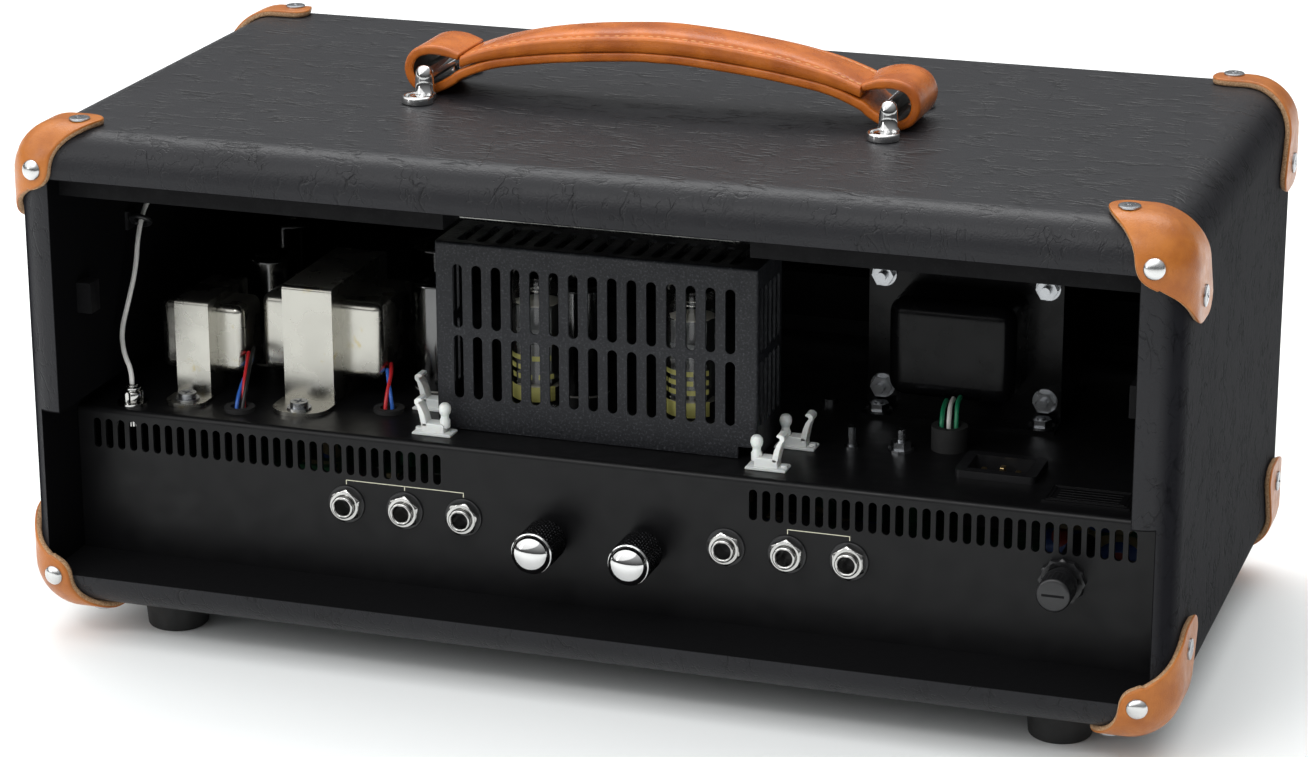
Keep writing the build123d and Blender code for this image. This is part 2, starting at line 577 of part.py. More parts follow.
def power_transformer():
    """Laminated core, front and back bells with bent mounting flanges, and the four core bolts."""
    x, half = PT["x"], PT["core_half_w"]
    y0, y1 = PT["core_y"]
    z0, z1 = PT["core_z"]
    zc = (z0 + z1) / 2 + 2.0
    bolt_holes = [rod_y(x + dx, z, 2.1, y0 - 40, y1 + 40) for dx, z in PT_BOLTS]
    core = cut_all(block(x - half, x + half, y0, y1, z0, z1), bolt_holes)
    bells = []
    for face, direction in ((y1, 1), (y0, -1)):
        plate = block(x - half, x + half, *sorted((face, face + direction * 1.6)), CHASSIS_TOP, z1)
        foot = block(x - half, x + half, *sorted((face, face + direction * 13.0)), CHASSIS_TOP, CHASSIS_TOP + 1.6)
        dome = block(x - 26.5, x + 26.5, *sorted((face, face + direction * 28.0)), zc - 21.0, zc + 21.0)
        outer = [e for e in dome.edges() if abs(e.center().Y - (face + direction * 28.0)) < 0.1]
        dome = fillet(outer + list(dome.edges().filter_by(Axis.Y)), 7.0)
        bell = cut_all(plate + foot + dome, bolt_holes)
        bell = cut_all(bell, [rod_z(fx, fy, 2.0, CHASSIS_TOP - 1, CHASSIS_TOP + 3) for fx, fy in PT_FEET])
        bells.append(bell)
    bolts = []
    for dx, z in PT_BOLTS:
        rear = y1 + 1.6
        front = y0 - 1.6
        bolt = rod_y(x + dx, z, 2.0, front - 3.0, rear + 7.0)
        bolt += hex_y(x + dx, z, 8.0, rear + 0.8, rear + 4.0, 1.9)
        bolt += washer_y(x + dx, z, 5.2, rear, rear + 0.8, 1.9)
        bolt += hex_y(x + dx, z, 8.0, front - 3.0, front, 1.9)
        bolts.append(bolt)
    return core, bells, bolts


def top_hardware():
    """Screws, studs and washers standing on the chassis top."""
    parts = []
    floor = CHASSIS_TOP
    for x, y in bracket_screws():
        base = floor + 1.6
        screw = rod_z(x, y, 5.2, base, base + 0.8) + rod_z(x, y, 3.8, base + 0.8, base + 3.0)
        screw -= Pos(x, y, base + 3.0) * (Box(4.6, 1.0, 1.4) + Box(1.0, 4.6, 1.4))
        parts.append(screw + rod_z(x, y, 1.9, floor - 6.0, base + 0.5))
    for x, y in PT_FEET:
        base = floor + 1.6
        nut = extrude(RegularPolygon(4.4, 6), 2.6)
        body = rod_z(x, y, 5.6, base, base + 1.0) + Pos(x, y, base + 1.0) * nut
        parts.append(body + rod_z(x, y, 1.9, floor - 6.0, base + 4.0))
    parts.append(rod_z(*STUDS[0], 1.9, floor - 5.0, floor + 9.0) + rod_z(*STUDS[0], 3.2, floor, floor + 1.0))
    parts.append(rod_z(*STUDS[1], 1.9, floor - 5.0, floor + 1.0) + rod_z(*STUDS[1], 3.4, floor, floor + 2.0))
    star = extrude(RegularPolygon(5.4, 12), 1.0)
    star_set = Pos(*STAR_NUT, floor) * star + Pos(*STAR_NUT, floor + 1.0) * extrude(RegularPolygon(4.2, 6), 3.0)
    parts.append(star_set + rod_z(*STAR_NUT, 1.9, floor - 5.0, floor + 9.0))
    return parts


# ---- tubes ----
def tube_cage():
    """Slotted steel cover over the power tubes: front, sides and top, with feet for its clips."""
    x0, x1 = CAGE_X
    y0, y1 = CAGE_Y
    z0 = CHASSIS_TOP + 0.4
    z1 = CHASSIS_TOP + CAGE_H
    t = 1.0
    cage = block(x0, x1, y0, y1, z0, z1)
    cage = fillet([e for e in cage.edges() if e.center().Y > y1 - 0.1 and e.center().Z > z0 + 1
                   and e.geom_type == GeomType.LINE], 1.2)
    cage -= block(x0 + t, x1 - t, y0 - 1, y1 - t, z0 - 1, z1 - t)
    tools = []
    front_slot = extrude(Plane.XZ * SlotOverall(27.0, 4.2, rotation=90), 3.0, both=True)
    side_slot = extrude(Plane.YZ * SlotOverall(27.0, 3.4, rotation=90), 3.0, both=True)
    top_slot = extrude(SlotOverall(24.0, 4.2, rotation=90), 3.0, both=True)
    for n in range(15):
        x = 67.2 - n * 8.3
        for z in (CHASSIS_TOP + 27.3, CHASSIS_TOP + 57.5):
            tools.append(Pos(x, y1, z) * front_slot)
        tools.append(Pos(x, (y0 + y1) / 2, z1) * top_slot)
    for x in (x0, x1):
        for n in range(5):
            for z in (CHASSIS_TOP + 27.3, CHASSIS_TOP + 57.5):
                tools.append(Pos(x, y0 + 4.5 + n * 5.9, z) * side_slot)
    tools.append(block(x0 - 1, x0 + 8.0, y1 - 3, y1 + 1, z0 - 1, z0 + 5.0))
    return cut_all(cage, tools)


def cage_clips():
    """Moulded nylon clips: base, block, hooked arm and a round-nosed post."""
    clips = []
    for x, y, side in ((CAGE_X[1] - 2.0, CAGE_Y[1] + 7.5, 1), (CAGE_X[0] - 6.0, CAGE_Y[1] + 6.5, -1),
                       (CAGE_X[0] - 9.6, 50.0, -1), (CAGE_X[1] + 9.6, 50.0, 1)):
        z = CHASSIS_TOP
        clip = block(-9.0, 9.0, -3.2, 3.2, z, z + 2.0)
        clip += block(-3.5, 3.0, -3.0, 3.0, z + 1.9, z + 9.0)
        post = rod_z(-6.2, 0, 2.1, z + 1.0, z + 16.0)
        clip += fillet(post.edges().group_by(Axis.Z)[-1], 1.9)
        clip += block(2.8, 6.2, -2.6, 2.6, z + 1.9, z + 12.0)
        clip += block(4.4, 8.4, -2.6, 2.6, z + 11.0, z + 15.0)
        if side < 0:
            clip = mirror(clip, Plane.YZ)
        clips.append(Pos(x, y, 0) * clip)
    return clips


def sockets():
    """Nine-pin tube sockets: six under the preamp tubes and two under the power tubes."""
    parts = []
    for x, y in POWER_TUBES + PREAMP_TUBES:
        body = rod_z(x, y, 9.5, CHASSIS_TOP - 9.0, CHASSIS_TOP + 3.6)
        body += rod_z(x, y, 11.2, CHASSIS_TOP, CHASSIS_TOP + 1.0)
        parts.append(body)
    return parts


def glass_tube(x, y, z0, height, radius):
    """Sealed glass envelope: straight bulb, shoulder and exhaust tip."""
    bulb = rod_z(x, y, radius, z0, z0 + height - radius)
    bulb = fillet(bulb.edges().group_by(Axis.Z)[0], 2.0)
    top = Pos(x, y, z0 + height - radius) * Sphere(radius)
    top &= block(x - 20, x + 20, y - 20, y + 20, z0 + height - radius, z0 + height)
    return bulb + top + Pos(x, y, z0 + height + 1.2) * Cone(2.2, 0.9, 4.4)


def tube_shields():
    """Drawn shields over the preamp tubes, open in the middle of the top."""
    parts = []
    for x, y in PREAMP_TUBES:
        low = CHASSIS_TOP + 1.0
        can = rod_z(x, y, 11.6, low, SHIELD_TOP)
        can = fillet(can.edges().group_by(Axis.Z)[-1], 1.6)
        can -= rod_z(x, y, 11.3, low - 1, low + 0.05) + rod_z(x, y, 10.9, low, SHIELD_TOP - 0.7)
        can -= rod_z(x, y, 7.6, SHIELD_TOP - 3, SHIELD_TOP + 1)
        parts.append(can)
    return parts


# ---- leads ----
RING = (217.2, 54.0, 165.6)
TANK = (-35.0, 203.0, -92.0, 10.0, 166.0, 199.0)
LEAD_ROUTE = [
    (203.7, 2.0, 183.0), (209.5, 4.5, 182.5), (214.4, 12.0, 181.0), (217.0, 24.0, 178.5), (217.6, 38.0, 175.0),
    (217.4, 49.5, 170.4), (216.8, 58.0, 160.6), (216.2, 62.5, 147.0), (217.6, 68.0, 134.0),
    (219.0, 73.5, 122.0), (215.0, 79.5, 114.0), (210.5, 82.4, 108.6), (210.5, 82.5, 102.65)]


def route_radii(points):
    """Corner radii: 0.45 of the shorter run over the tangent of half the turn."""
    vectors = [Vector(*p) for p in points]
    radii = []
    for before, here, after in zip(vectors, vectors[1:], vectors[2:]):
        run_in, run_out = here - before, after - here
        turn = math.radians(run_in.get_angle(run_out))
        radii.append(0.45 * min(run_in.length, run_out.length) / math.tan(turn / 2))
    return radii


def cord_tube(points, radius):
    """A tube of straight runs joined by tangent arcs."""
    radii = route_radii(points)
    path = FilletPolyline(*points, radius=radii)
    start = Vector(*points[0])
    section = Plane(start, z_dir=Vector(*points[1]) - start) * Circle(radius)
    tube = sweep(section, path)
    print("cord radii", [round(r, 1) for r in radii], "length", round(path.length, 1),
          "volume ratio", round(tube.volume / (math.pi * radius ** 2 * path.length), 4))
    return tube


def phono_plug():
    """Plug of the reverb lead: ribbed barrel, tapered tail and the centre pin."""
    x, y = PLUG_XY
    base = CHASSIS_TOP
    plug = rod_z(x, y, 4.6, base + 1.2, base + 7.0) + rod_z(x, y, 3.6, base + 7.0, base + 8.6)
    return plug + rod_z(x, y, 1.6, base - 8.0, base + 1.4)


def phono_socket():
    """Socket of that plug, with its flange on the chassis top."""
    x, y = PLUG_XY
    base = CHASSIS_TOP
    body = rod_z(x, y, 4.0, base - 9.0, base + 0.5) + rod_z(x, y, 6.5, base, base + 1.2)
    return body - rod_z(x, y, 1.65, base - 8.2, base + 2.0)


def lead_ring():
    """Plastic cable ring screwed to the side wall that carries the reverb lead."""
    along = Vector(*LEAD_ROUTE[6]) - Vector(*LEAD_ROUTE[5])
    ring = Plane(RING, z_dir=along) * Torus(3.9, 1.1)
    x, y, z = RING
    foot = block(x + 4.4, HALF_W - WALL, y - 3.0, y + 3.0, z - 4.0, z + 4.0)
    return ring + foot


def lead_bundles():
    """Insulated leads from the transformer coils down to their grommets."""
    bundles = []
    specs = [
        [(169.1, 55.0, 112.0), (166.5, 62.0, 110.5), (164.6, 71.0, 103.5), (163.0, 75.0, 95.0), (163.0, 75.2, 88.0)],
        [(169.1, 52.0, 108.4), (167.6, 60.0, 106.0), (166.0, 72.0, 101.0), (165.4, 77.8, 94.5), (165.4, 78.0, 88.0)],
        [(169.1, 49.0, 112.5), (166.0, 58.0, 114.0), (162.5, 72.0, 104.5), (162.2, 79.0, 95.0), (162.2, 79.2, 88.0)],
        [(109.7, 46.0, 107.6), (107.4, 51.0, 105.6), (104.0, 57.0, 100.5), (102.6, 58.4, 94.4), (102.6, 58.5, 88.0)],
        [(109.7, 42.0, 109.0), (106.6, 48.5, 107.6), (105.6, 56.5, 102.0), (105.4, 60.4, 94.6), (105.4, 60.5, 88.0)],
    ]
    for points in specs:
        bundles.append(cord_tube(points, 0.85))
    for n, dx in enumerate((-2.7, 0.2, 3.0)):
        x, y = BUSHING[0] + dx, BUSHING[1]
        points = [(x + 1.6, y - 12.9, 112.0 - n), (x + 1.0, y - 5.0, 112.6 - n), (x + 0.2, y - 1.0 + n, 105.0),
                  (x, y + 0.6, 98.0), (x, y + 0.5, 88.0)]
        bundles.append(cord_tube(points, 0.95))
    return bundles


def grommets():
    """Rubber grommets and the tall insulating bushing that the leads pass through."""
    floor = CHASSIS_TOP
    parts = []
    for x, y in GROMMETS:
        ring = rod_z(x, y, 6.4, floor, floor + 1.8) + rod_z(x, y, 4.5, floor - SHEET - 1.0, floor + 0.2)
        parts.append(ring - rod_z(x, y, 3.7, floor - 6, floor + 4))
    x, y = BUSHING
    tall = rod_z(x, y, 7.4, floor, floor + 10.0) + rod_z(x, y, 5.5, floor - SHEET - 4.0, floor + 0.2)
    parts.append(tall - rod_z(x, y, 4.7, floor - 8, floor + 12))
    return parts


def reverb_tank():
    """Spring reverb tank hung under the roof: a shallow steel tray with its rolled rim and hangers."""
    x0, x1, y0, y1, z0, z1 = TANK
    tray = block(x0, x1, y0, y1, z0, z1)
    tray = fillet(tray.edges().filter_by(Axis.Z), 4.0)
    tray -= block(x0 + 1.0, x1 - 1.0, y0 + 1.0, y1 - 1.0, z0 + 1.0, z1 + 1)
    rim = block(x0 - 3, x1 + 3, y0 - 3, y1 + 3, z1 - 1.0, z1)
    rim -= block(x0 + 1, x1 - 1, y0 + 1, y1 - 1, z1 - 2, z1 + 1)
    tray += rim
    for x in (x0 + 20, x1 - 20):
        for y in (y0 - 1.0, y1 + 1.0):
            tray += rod_z(x, y, 2.0, z1, ROOF_Z)
    return tray


# ---- front controls ----
def front_knob(x):
    """Front knob: skirt, fluted grip and a bore for its shaft."""
    face = PANEL_FRONT
    y_skirt = face - 5.4
    skirt = rod_y(x, FRONT_Z, 9.4, y_skirt, face - 4.4)
    grip = Plane((x, face - 17.0, FRONT_Z), z_dir=(0, 1, 0)) * extrude(RegularPolygon(7.6, 20), 11.7)
    return skirt + grip - rod_y(x, FRONT_Z, 3.05, face - 14.0, face - 4.0)


def toggle_lever(x, pivot_y, ball_r, neck_r, tip_r, length, tilt):
    """Toggle lever on its pivot ball, tilted down from straight out."""
    lever = Sphere(ball_r) + Pos(0, -length / 2, 0) * Rot(90, 0, 0) * Cone(neck_r, tip_r * 0.62, length)
    lever += Pos(0, -length, 0) * Sphere(tip_r)
    return Pos(x, pivot_y, FRONT_Z) * Rot(tilt, 0, 0) * lever


def mini_switch(x):
    """Small three-way toggle, lever centred, and the switch behind it."""
    face = PANEL_FRONT
    lever = toggle_lever(x, face - 1.0, 1.9, 1.6, 1.75, 12.4, 0)
    body = rod_y(x, FRONT_Z, 3.1, face - 3.4, CHASSIS_FRONT + SHEET)
    body += block(x - 4, x + 4, CHASSIS_FRONT + SHEET, CHASSIS_FRONT + SHEET + 12, FRONT_Z - 6.4, FRONT_Z + 6.4)
    return lever, body - rod_y(x, FRONT_Z, 2.4, face - 5.0, face + 1.4)


def power_switch(x):
    """Two-way bat-handle toggle, lever down, and its switch."""
    face = PANEL_FRONT
    lever = toggle_lever(x, face, 3.2, 2.9, 3.05, 14.6, POWER_TILT)
    body = rod_y(x, FRONT_Z, 6.0, face - 4.0, CHASSIS_FRONT + SHEET)
    body += block(x - 8, x + 8, CHASSIS_FRONT + SHEET, CHASSIS_FRONT + SHEET + 20, FRONT_Z - 14, FRONT_Z + 14)
    body += hex_y(x, FRONT_Z, 15.0, face - 2.4, face, 5.9)
    return lever, body - rod_y(x, FRONT_Z, 4.4, face - 6.0, face + 3.6)


def pilot_lamp():
    """Pilot lamp: faceted lens in a bezel ring and its holder."""
    face = PANEL_FRONT
    lamp = rod_y(PILOT_X, FRONT_Z, 6.0, face - 2.0, CHASSIS_FRONT + SHEET + 14.0)
    lamp += rod_y(PILOT_X, FRONT_Z, 8.4, face - 2.0, face)
    lens = Pos(PILOT_X, face - 2.0, FRONT_Z) * Sphere(5.6)
    lens &= block(PILOT_X - 8, PILOT_X + 8, face - 9.0, face - 2.0, FRONT_Z - 8, FRONT_Z + 8)
    return lamp + lens


# ---- everything ----
def main():
    os.makedirs("parts", exist_ok=True)

    shank_holes = corner_shank_holes()
    nail, corner_screw_pair = corner_fasteners()
    patch = cut_all(leather_corner(), shank_holes)
    brackets, bracket_screw_set, bracket_holes = handle_brackets()
    all_shanks = [c for tool in shank_holes for upper in (True, False) for c in at_all_corners(tool, upper)]
    save("cabinet_shell", cabinet_shell(all_shanks + bottom_screw_holes() + bracket_holes))
    save("corner_patches_top", at_all_corners(patch, True))
    save("corner_patches_bottom", at_all_corners(patch, False))
    save("corner_nails", [at_all_corners(nail, upper) for upper in (True, False)])
    save("corner_screws", [at_all_corners(s, upper) for s in corner_screw_pair for upper in (True, False)])
    save("handle_strap", handle_strap())
    save("handle_brackets", brackets)
    save("handle_screws", bracket_screw_set)
    feet, foot_screws = foot_parts()
    save("rubber_feet", feet)
    save("bottom_screws", foot_screws + chassis_bolt_set())
    baffle, cloth = front_baffle()
    save("front_baffle", baffle)
    save("grille_cloth", cloth)
    save("rear_rails", rear_rails())

    save("chassis", chassis())
    save("chassis_bottom_cover", bottom_cover())
    save("control_panel", control_panel())
    board, spacers = circuit_board()
    save("circuit_board", board)
    save("board_spacers", spacers)
    save("board_components", board_components())

    jacks = [jack_body(x, JACK_Z, CHASSIS_REAR, 1, SHEET) for x in JACK_X]
    save("jacks", jacks + [jack_body(INPUT_X, FRONT_Z, PANEL_FRONT, -1, FRONT_WALL)])
    washers, nuts = jack_hardware()
    save("jack_washers", washers)
    save("jack_nuts", nuts)
    controls = [potentiometer(x, REAR_KNOB_Z, CHASSIS_REAR, 1, SHEET, CHASSIS_REAR + 15.0) for x in REAR_KNOB_X]
    controls += [potentiometer(x, FRONT_Z, PANEL_FRONT, -1, FRONT_WALL, PANEL_FRONT - 13.8) for x in FRONT_KNOB_X]
    save("potentiometers", controls)
    for n, x in enumerate(REAR_KNOB_X, 1):
        save(f"rear_knob_{n}", rear_knob(x))
    holder, cap, fuse = fuse_parts()
    save("fuse_holder", [holder, fuse])
    save("fuse_cap", cap)
    save("power_inlet", power_inlet())

    small_frame, small_coil = channel_transformer(SMALL_T)
    save("small_transformer_frame", small_frame)
    save("small_transformer_coil", small_coil)
    output_frame, output_coil = channel_transformer(OUTPUT_T)
    save("output_transformer_frame", output_frame)
    save("output_transformer_coil", output_coil)
    core, bells, core_bolts = power_transformer()
    save("power_transformer_core", core)
    save("power_transformer_bells", bells)
    save("chassis_top_hardware", core_bolts + top_hardware())
    plate = block(PLATE[0] - 17.5, PLATE[0] + 17.5, PLATE[1] - 9.5, PLATE[1] + 9.5, CHASSIS_TOP, CHASSIS_TOP + 1.0)
    save("blank_plate", plate)

    save("tube_cage", tube_cage())
    save("cage_clips", cage_clips())
    save("tube_sockets", sockets())
    save("power_tubes", [glass_tube(x, y, CHASSIS_TOP + 3.6, 66.0, 10.9) for x, y in POWER_TUBES])
    save("preamp_tubes", [glass_tube(x, y, CHASSIS_TOP + 3.6, 38.5, 10.2) for x, y in PREAMP_TUBES])
    save("tube_shields", tube_shields())

    save("reverb_tank", reverb_tank())
    save("reverb_lead", cord_tube(LEAD_ROUTE, LEAD_R))
    save("phono_plug", phono_plug())
    save("phono_socket", phono_socket())
    save("lead_ring", lead_ring())
    save("transformer_leads", lead_bundles())
    save("grommets", grommets())

    for n, x in enumerate(FRONT_KNOB_X, 1):
        save(f"front_knob_{n}", front_knob(x))
    switch_bodies = []
    for n, x in enumerate(MINI_SWITCH_X, 1):
        lever, body = mini_switch(x)
        save(f"mini_toggle_{n}", lever)
        switch_bodies.append(body)
    for name, x in zip(("power_toggle", "standby_toggle"), POWER_SWITCH_X):
        lever, body = power_switch(x)
        save(name, lever)
        switch_bodies.append(body)
    save("switch_bodies", switch_bodies)
    save("pilot_lamp", pilot_lamp())


main()
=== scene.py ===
import math
import random

import bmesh
import bpy
from mathutils import Matrix, Vector


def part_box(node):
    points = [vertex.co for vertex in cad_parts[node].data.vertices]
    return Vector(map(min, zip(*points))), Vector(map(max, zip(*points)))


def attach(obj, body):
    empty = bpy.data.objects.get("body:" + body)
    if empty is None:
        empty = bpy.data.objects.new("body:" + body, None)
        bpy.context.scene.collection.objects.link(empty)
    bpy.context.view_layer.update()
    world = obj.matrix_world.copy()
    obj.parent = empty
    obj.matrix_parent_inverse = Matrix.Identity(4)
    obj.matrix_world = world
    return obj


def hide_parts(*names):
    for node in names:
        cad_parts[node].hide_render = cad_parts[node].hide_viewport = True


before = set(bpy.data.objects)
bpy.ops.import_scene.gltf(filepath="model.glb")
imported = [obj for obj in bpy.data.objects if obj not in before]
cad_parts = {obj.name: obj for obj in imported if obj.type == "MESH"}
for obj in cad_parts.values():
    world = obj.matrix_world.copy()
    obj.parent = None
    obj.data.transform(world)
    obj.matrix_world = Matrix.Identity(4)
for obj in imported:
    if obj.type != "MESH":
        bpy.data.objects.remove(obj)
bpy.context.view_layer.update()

# Looks of a tube amplifier head built round its CAD frame. Metres, +Z up, the open back faces +Y.

MM = 0.001
random.seed(7)

SHELL_LOW, SHELL_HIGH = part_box("cabinet_shell")
CHASSIS_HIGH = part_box("chassis")[1]
DECK_Z = CHASSIS_HIGH[2]
REAR_Y = CHASSIS_HIGH[1]
PANEL_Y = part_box("control_panel")[0][1]
WALL_IN, ROOF_Z, FLOOR_Z = 0.223, 0.201, 0.0307     # inside faces of the cabinet
GROOVE_IN, GROOVE_TOP = 0.2323, 0.1022              # the wider part beside the chassis
HALF_W, HALF_D = SHELL_HIGH[0] / MM, SHELL_HIGH[1] / MM
CAB_LOW, CAB_TOP = SHELL_LOW[2] / MM, SHELL_HIGH[2] / MM
EDGE_R, FACE_R = 18.0, 15.0


# ---- camera, light and floor ----
def make_camera():
    data = bpy.data.cameras.new("camera")
    data.sensor_width = 36.0
    data.lens = 104.3
    camera = bpy.data.objects.new("camera", data)
    bpy.context.scene.collection.objects.link(camera)
    right = Vector((-0.948957, -0.315393, -0.002747))
    up = Vector((0.096021, -0.297184, 0.949980))
    back = Vector((-0.300433, 0.901227, 0.312299))
    camera.matrix_world = Matrix.Translation((-0.4752, 1.44657, 0.60094)) @ Matrix(
        (right, up, back)).transposed().to_4x4()
    bpy.context.scene.camera = camera


def area_light(name, place, target, size, power, size_y=None, color=(1, 1, 1)):
    data = bpy.data.lights.new(name, "AREA")
    data.shape = "RECTANGLE"
    data.size = size
    data.size_y = size_y or size
    data.energy = power
    data.color = color
    light = bpy.data.objects.new(name, data)
    light.location = place
    light.rotation_euler = (Vector(target) - Vector(place)).to_track_quat("-Z", "Y").to_euler()
    bpy.context.scene.collection.objects.link(light)


def make_studio():
    world = bpy.data.worlds.new("studio")
    bpy.context.scene.world = world
    world.use_nodes = True
    nodes, links = world.node_tree.nodes, world.node_tree.links
    direction = nodes.new("ShaderNodeTexCoord")
    split = nodes.new("ShaderNodeSeparateXYZ")
    ramp = nodes.new("ShaderNodeValToRGB")
    for element, (place, tone) in zip(ramp.color_ramp.elements, ((0.03, 0.07), (0.85, 1.0))):
        element.position = place
        element.color = (tone * 0.97, tone * 0.985, tone, 1)
    links.new(direction.outputs["Generated"], split.inputs[0])
    links.new(split.outputs[2], ramp.inputs[0])
    links.new(ramp.outputs[0], nodes["Background"].inputs["Color"])
    nodes["Background"].inputs["Strength"].default_value = 0.75
    area_light("top_box", (0.1, -0.75, 1.7), (0, -0.1, 0.15), 2.0, 16, 0.8)
    area_light("rear_left", (1.7, 1.5, 1.0), (0.15, 0, 0.1), 0.4, 7, 1.2)
    area_light("rear_high", (0.5, 1.7, 1.9), (0.0, 0, 0.1), 0.7, 8, 0.4)
    sun = bpy.data.lights.new("floor_fill", "SUN")
    sun.energy = 2.1
    sun.angle = math.radians(110)
    fill = bpy.data.objects.new("floor_fill", sun)
    fill.rotation_euler = (math.radians(-14), math.radians(22), 0)
    bpy.context.scene.collection.objects.link(fill)
    bpy.context.scene.view_settings.view_transform = "Standard"
    mesh = bpy.data.meshes.new("floor")
    mesh.from_pydata([(-12, -12, 0), (12, -12, 0), (12, 12, 0), (-12, 12, 0)], [], [(0, 1, 2, 3)])
    floor = bpy.data.objects.new("floor", mesh)
    bpy.context.scene.collection.objects.link(floor)
    pale = Surface("pale_floor", (0.93, 0.94, 0.94), 0.75)
    pale.color_between((0.93, 0.945, 0.94), (0.94, 0.955, 0.95), pale.noise(400))
    floor.data.materials.append(pale.material)


# ---- materials ----
class Surface:
    """A Principled material whose colour, roughness and bump come from procedural textures in millimetres."""

    def __init__(self, name, color, roughness, metallic=0.0, **sockets):
        self.material = bpy.data.materials.new(name)
        self.material.use_nodes = True
        self.material.diffuse_color = (*color, 1)
        self.tree = self.material.node_tree
        self.bsdf = self.tree.nodes["Principled BSDF"]
        self.bsdf.inputs["Base Color"].default_value = (*color, 1)
        self.bsdf.inputs["Roughness"].default_value = roughness
        self.bsdf.inputs["Metallic"].default_value = metallic
        for key, value in sockets.items():
            self.bsdf.inputs[key.replace("_", " ")].default_value = value
        self.base = self.tree.nodes.new("ShaderNodeTexCoord")
        self.height = None

    def link(self, source, target):
        self.tree.links.new(source, target)

    def math(self, operation, a, b=None, clamp=False):
        node = self.tree.nodes.new("ShaderNodeMath")
        node.operation = operation
        node.use_clamp = clamp
        for socket, value in zip(node.inputs, (a, b)):
            if value is None:
                continue
            if isinstance(value, (int, float)):
                socket.default_value = value
            else:
                self.link(value, socket)
        return node.outputs[0]

    def axes(self, output="Object"):
        node = self.tree.nodes.new("ShaderNodeSeparateXYZ")
        self.link(self.base.outputs[output], node.inputs[0])
        return node.outputs

    def scaled(self, stretch=(1, 1, 1), turn=(0, 0, 0)):
        node = self.tree.nodes.new("ShaderNodeMapping")
        node.inputs["Scale"].default_value = [1 / s for s in stretch]
        node.inputs["Rotation"].default_value = turn
        self.link(self.base.outputs["Object"], node.inputs["Vector"])
        return node.outputs[0]

    def warped(self, vector, size, amount):
        """The vector pushed about by a soft noise: amount in millimetres of the vector's own scale."""
        noise = self.tree.nodes.new("ShaderNodeTexNoise")
        noise.inputs["Scale"].default_value = 1000 / size
        self.link(vector, noise.inputs["Vector"])
        push = self.tree.nodes.new("ShaderNodeVectorMath")
        push.operation = "MULTIPLY_ADD"
        push.inputs[1].default_value = (amount * MM,) * 3
        self.link(noise.outputs["Color"], push.inputs[0])
        self.link(vector, push.inputs[2])
        return push.outputs[0]

    def noise(self, size, detail=3.0, vector=None, rough=0.5, distortion=0.0):
        node = self.tree.nodes.new("ShaderNodeTexNoise")
        node.inputs["Scale"].default_value = 1000 / size
        node.inputs["Detail"].default_value = detail
        node.inputs["Roughness"].default_value = rough
        node.inputs["Distortion"].default_value = distortion
        self.link(vector or self.base.outputs["Object"], node.inputs["Vector"])
        return node.outputs[0]

    def cells(self, size, vector=None, feature="F1", smooth=None):
        node = self.tree.nodes.new("ShaderNodeTexVoronoi")
        node.feature = "SMOOTH_F1" if smooth else feature
        if smooth:
            node.inputs["Smoothness"].default_value = smooth
        node.inputs["Scale"].default_value = 1000 / size
        self.link(vector or self.base.outputs["Object"], node.inputs["Vector"])
        return node.outputs[0]

    def band(self, value, low, high, out_low=0.0, out_high=1.0):
        node = self.tree.nodes.new("ShaderNodeMapRange")
        node.interpolation_type = "SMOOTHSTEP"
        for socket, number in zip(node.inputs[1:5], (low, high, out_low, out_high)):
            socket.default_value = number
        self.link(value, node.inputs[0])
        return node.outputs[0]

    def creases(self, size, stretch, width=0.05, warp=0.0, turn=(0, 0, 0)):
        """Wandering fold lines: 1 on the line, 0 away from it."""
        vector = self.scaled(stretch, turn)
        if warp:
            vector = self.warped(vector, size * 2.5, warp)
        value = self.noise(size, 2.0, vector, 0.45)
        return self.band(self.math("ABSOLUTE", self.math("SUBTRACT", value, 0.5)), 0.0, width, 1.0, 0.0)

    def blend(self, factor, a, b):
        node = self.tree.nodes.new("ShaderNodeMix")
        node.data_type = "RGBA"
        if isinstance(factor, (int, float)):
            node.inputs[0].default_value = factor
        else:
            self.link(factor, node.inputs[0])
        for socket, value in ((node.inputs[6], a), (node.inputs[7], b)):
            if isinstance(value, tuple):
                socket.default_value = (*value, 1)
            else:
                self.link(value, socket)
        return node.outputs[2]

    def color_between(self, a, b, factor):
        self.link(self.blend(factor, a, b), self.bsdf.inputs["Base Color"])

    def rough_between(self, low, high, factor):
        self.link(self.band(factor, 0.25, 0.75, low, high), self.bsdf.inputs["Roughness"])

    def bump(self, height, depth, strength=1.0):
        """Adds one layer of bump, depth in millimetres."""
        node = self.tree.nodes.new("ShaderNodeBump")
        node.inputs["Strength"].default_value = strength
        node.inputs["Distance"].default_value = depth * MM
        self.link(height, node.inputs["Height"])
        if self.height:
            self.link(self.height, node.inputs["Normal"])
        self.height = node.outputs[0]
        self.link(self.height, self.bsdf.inputs["Normal"])


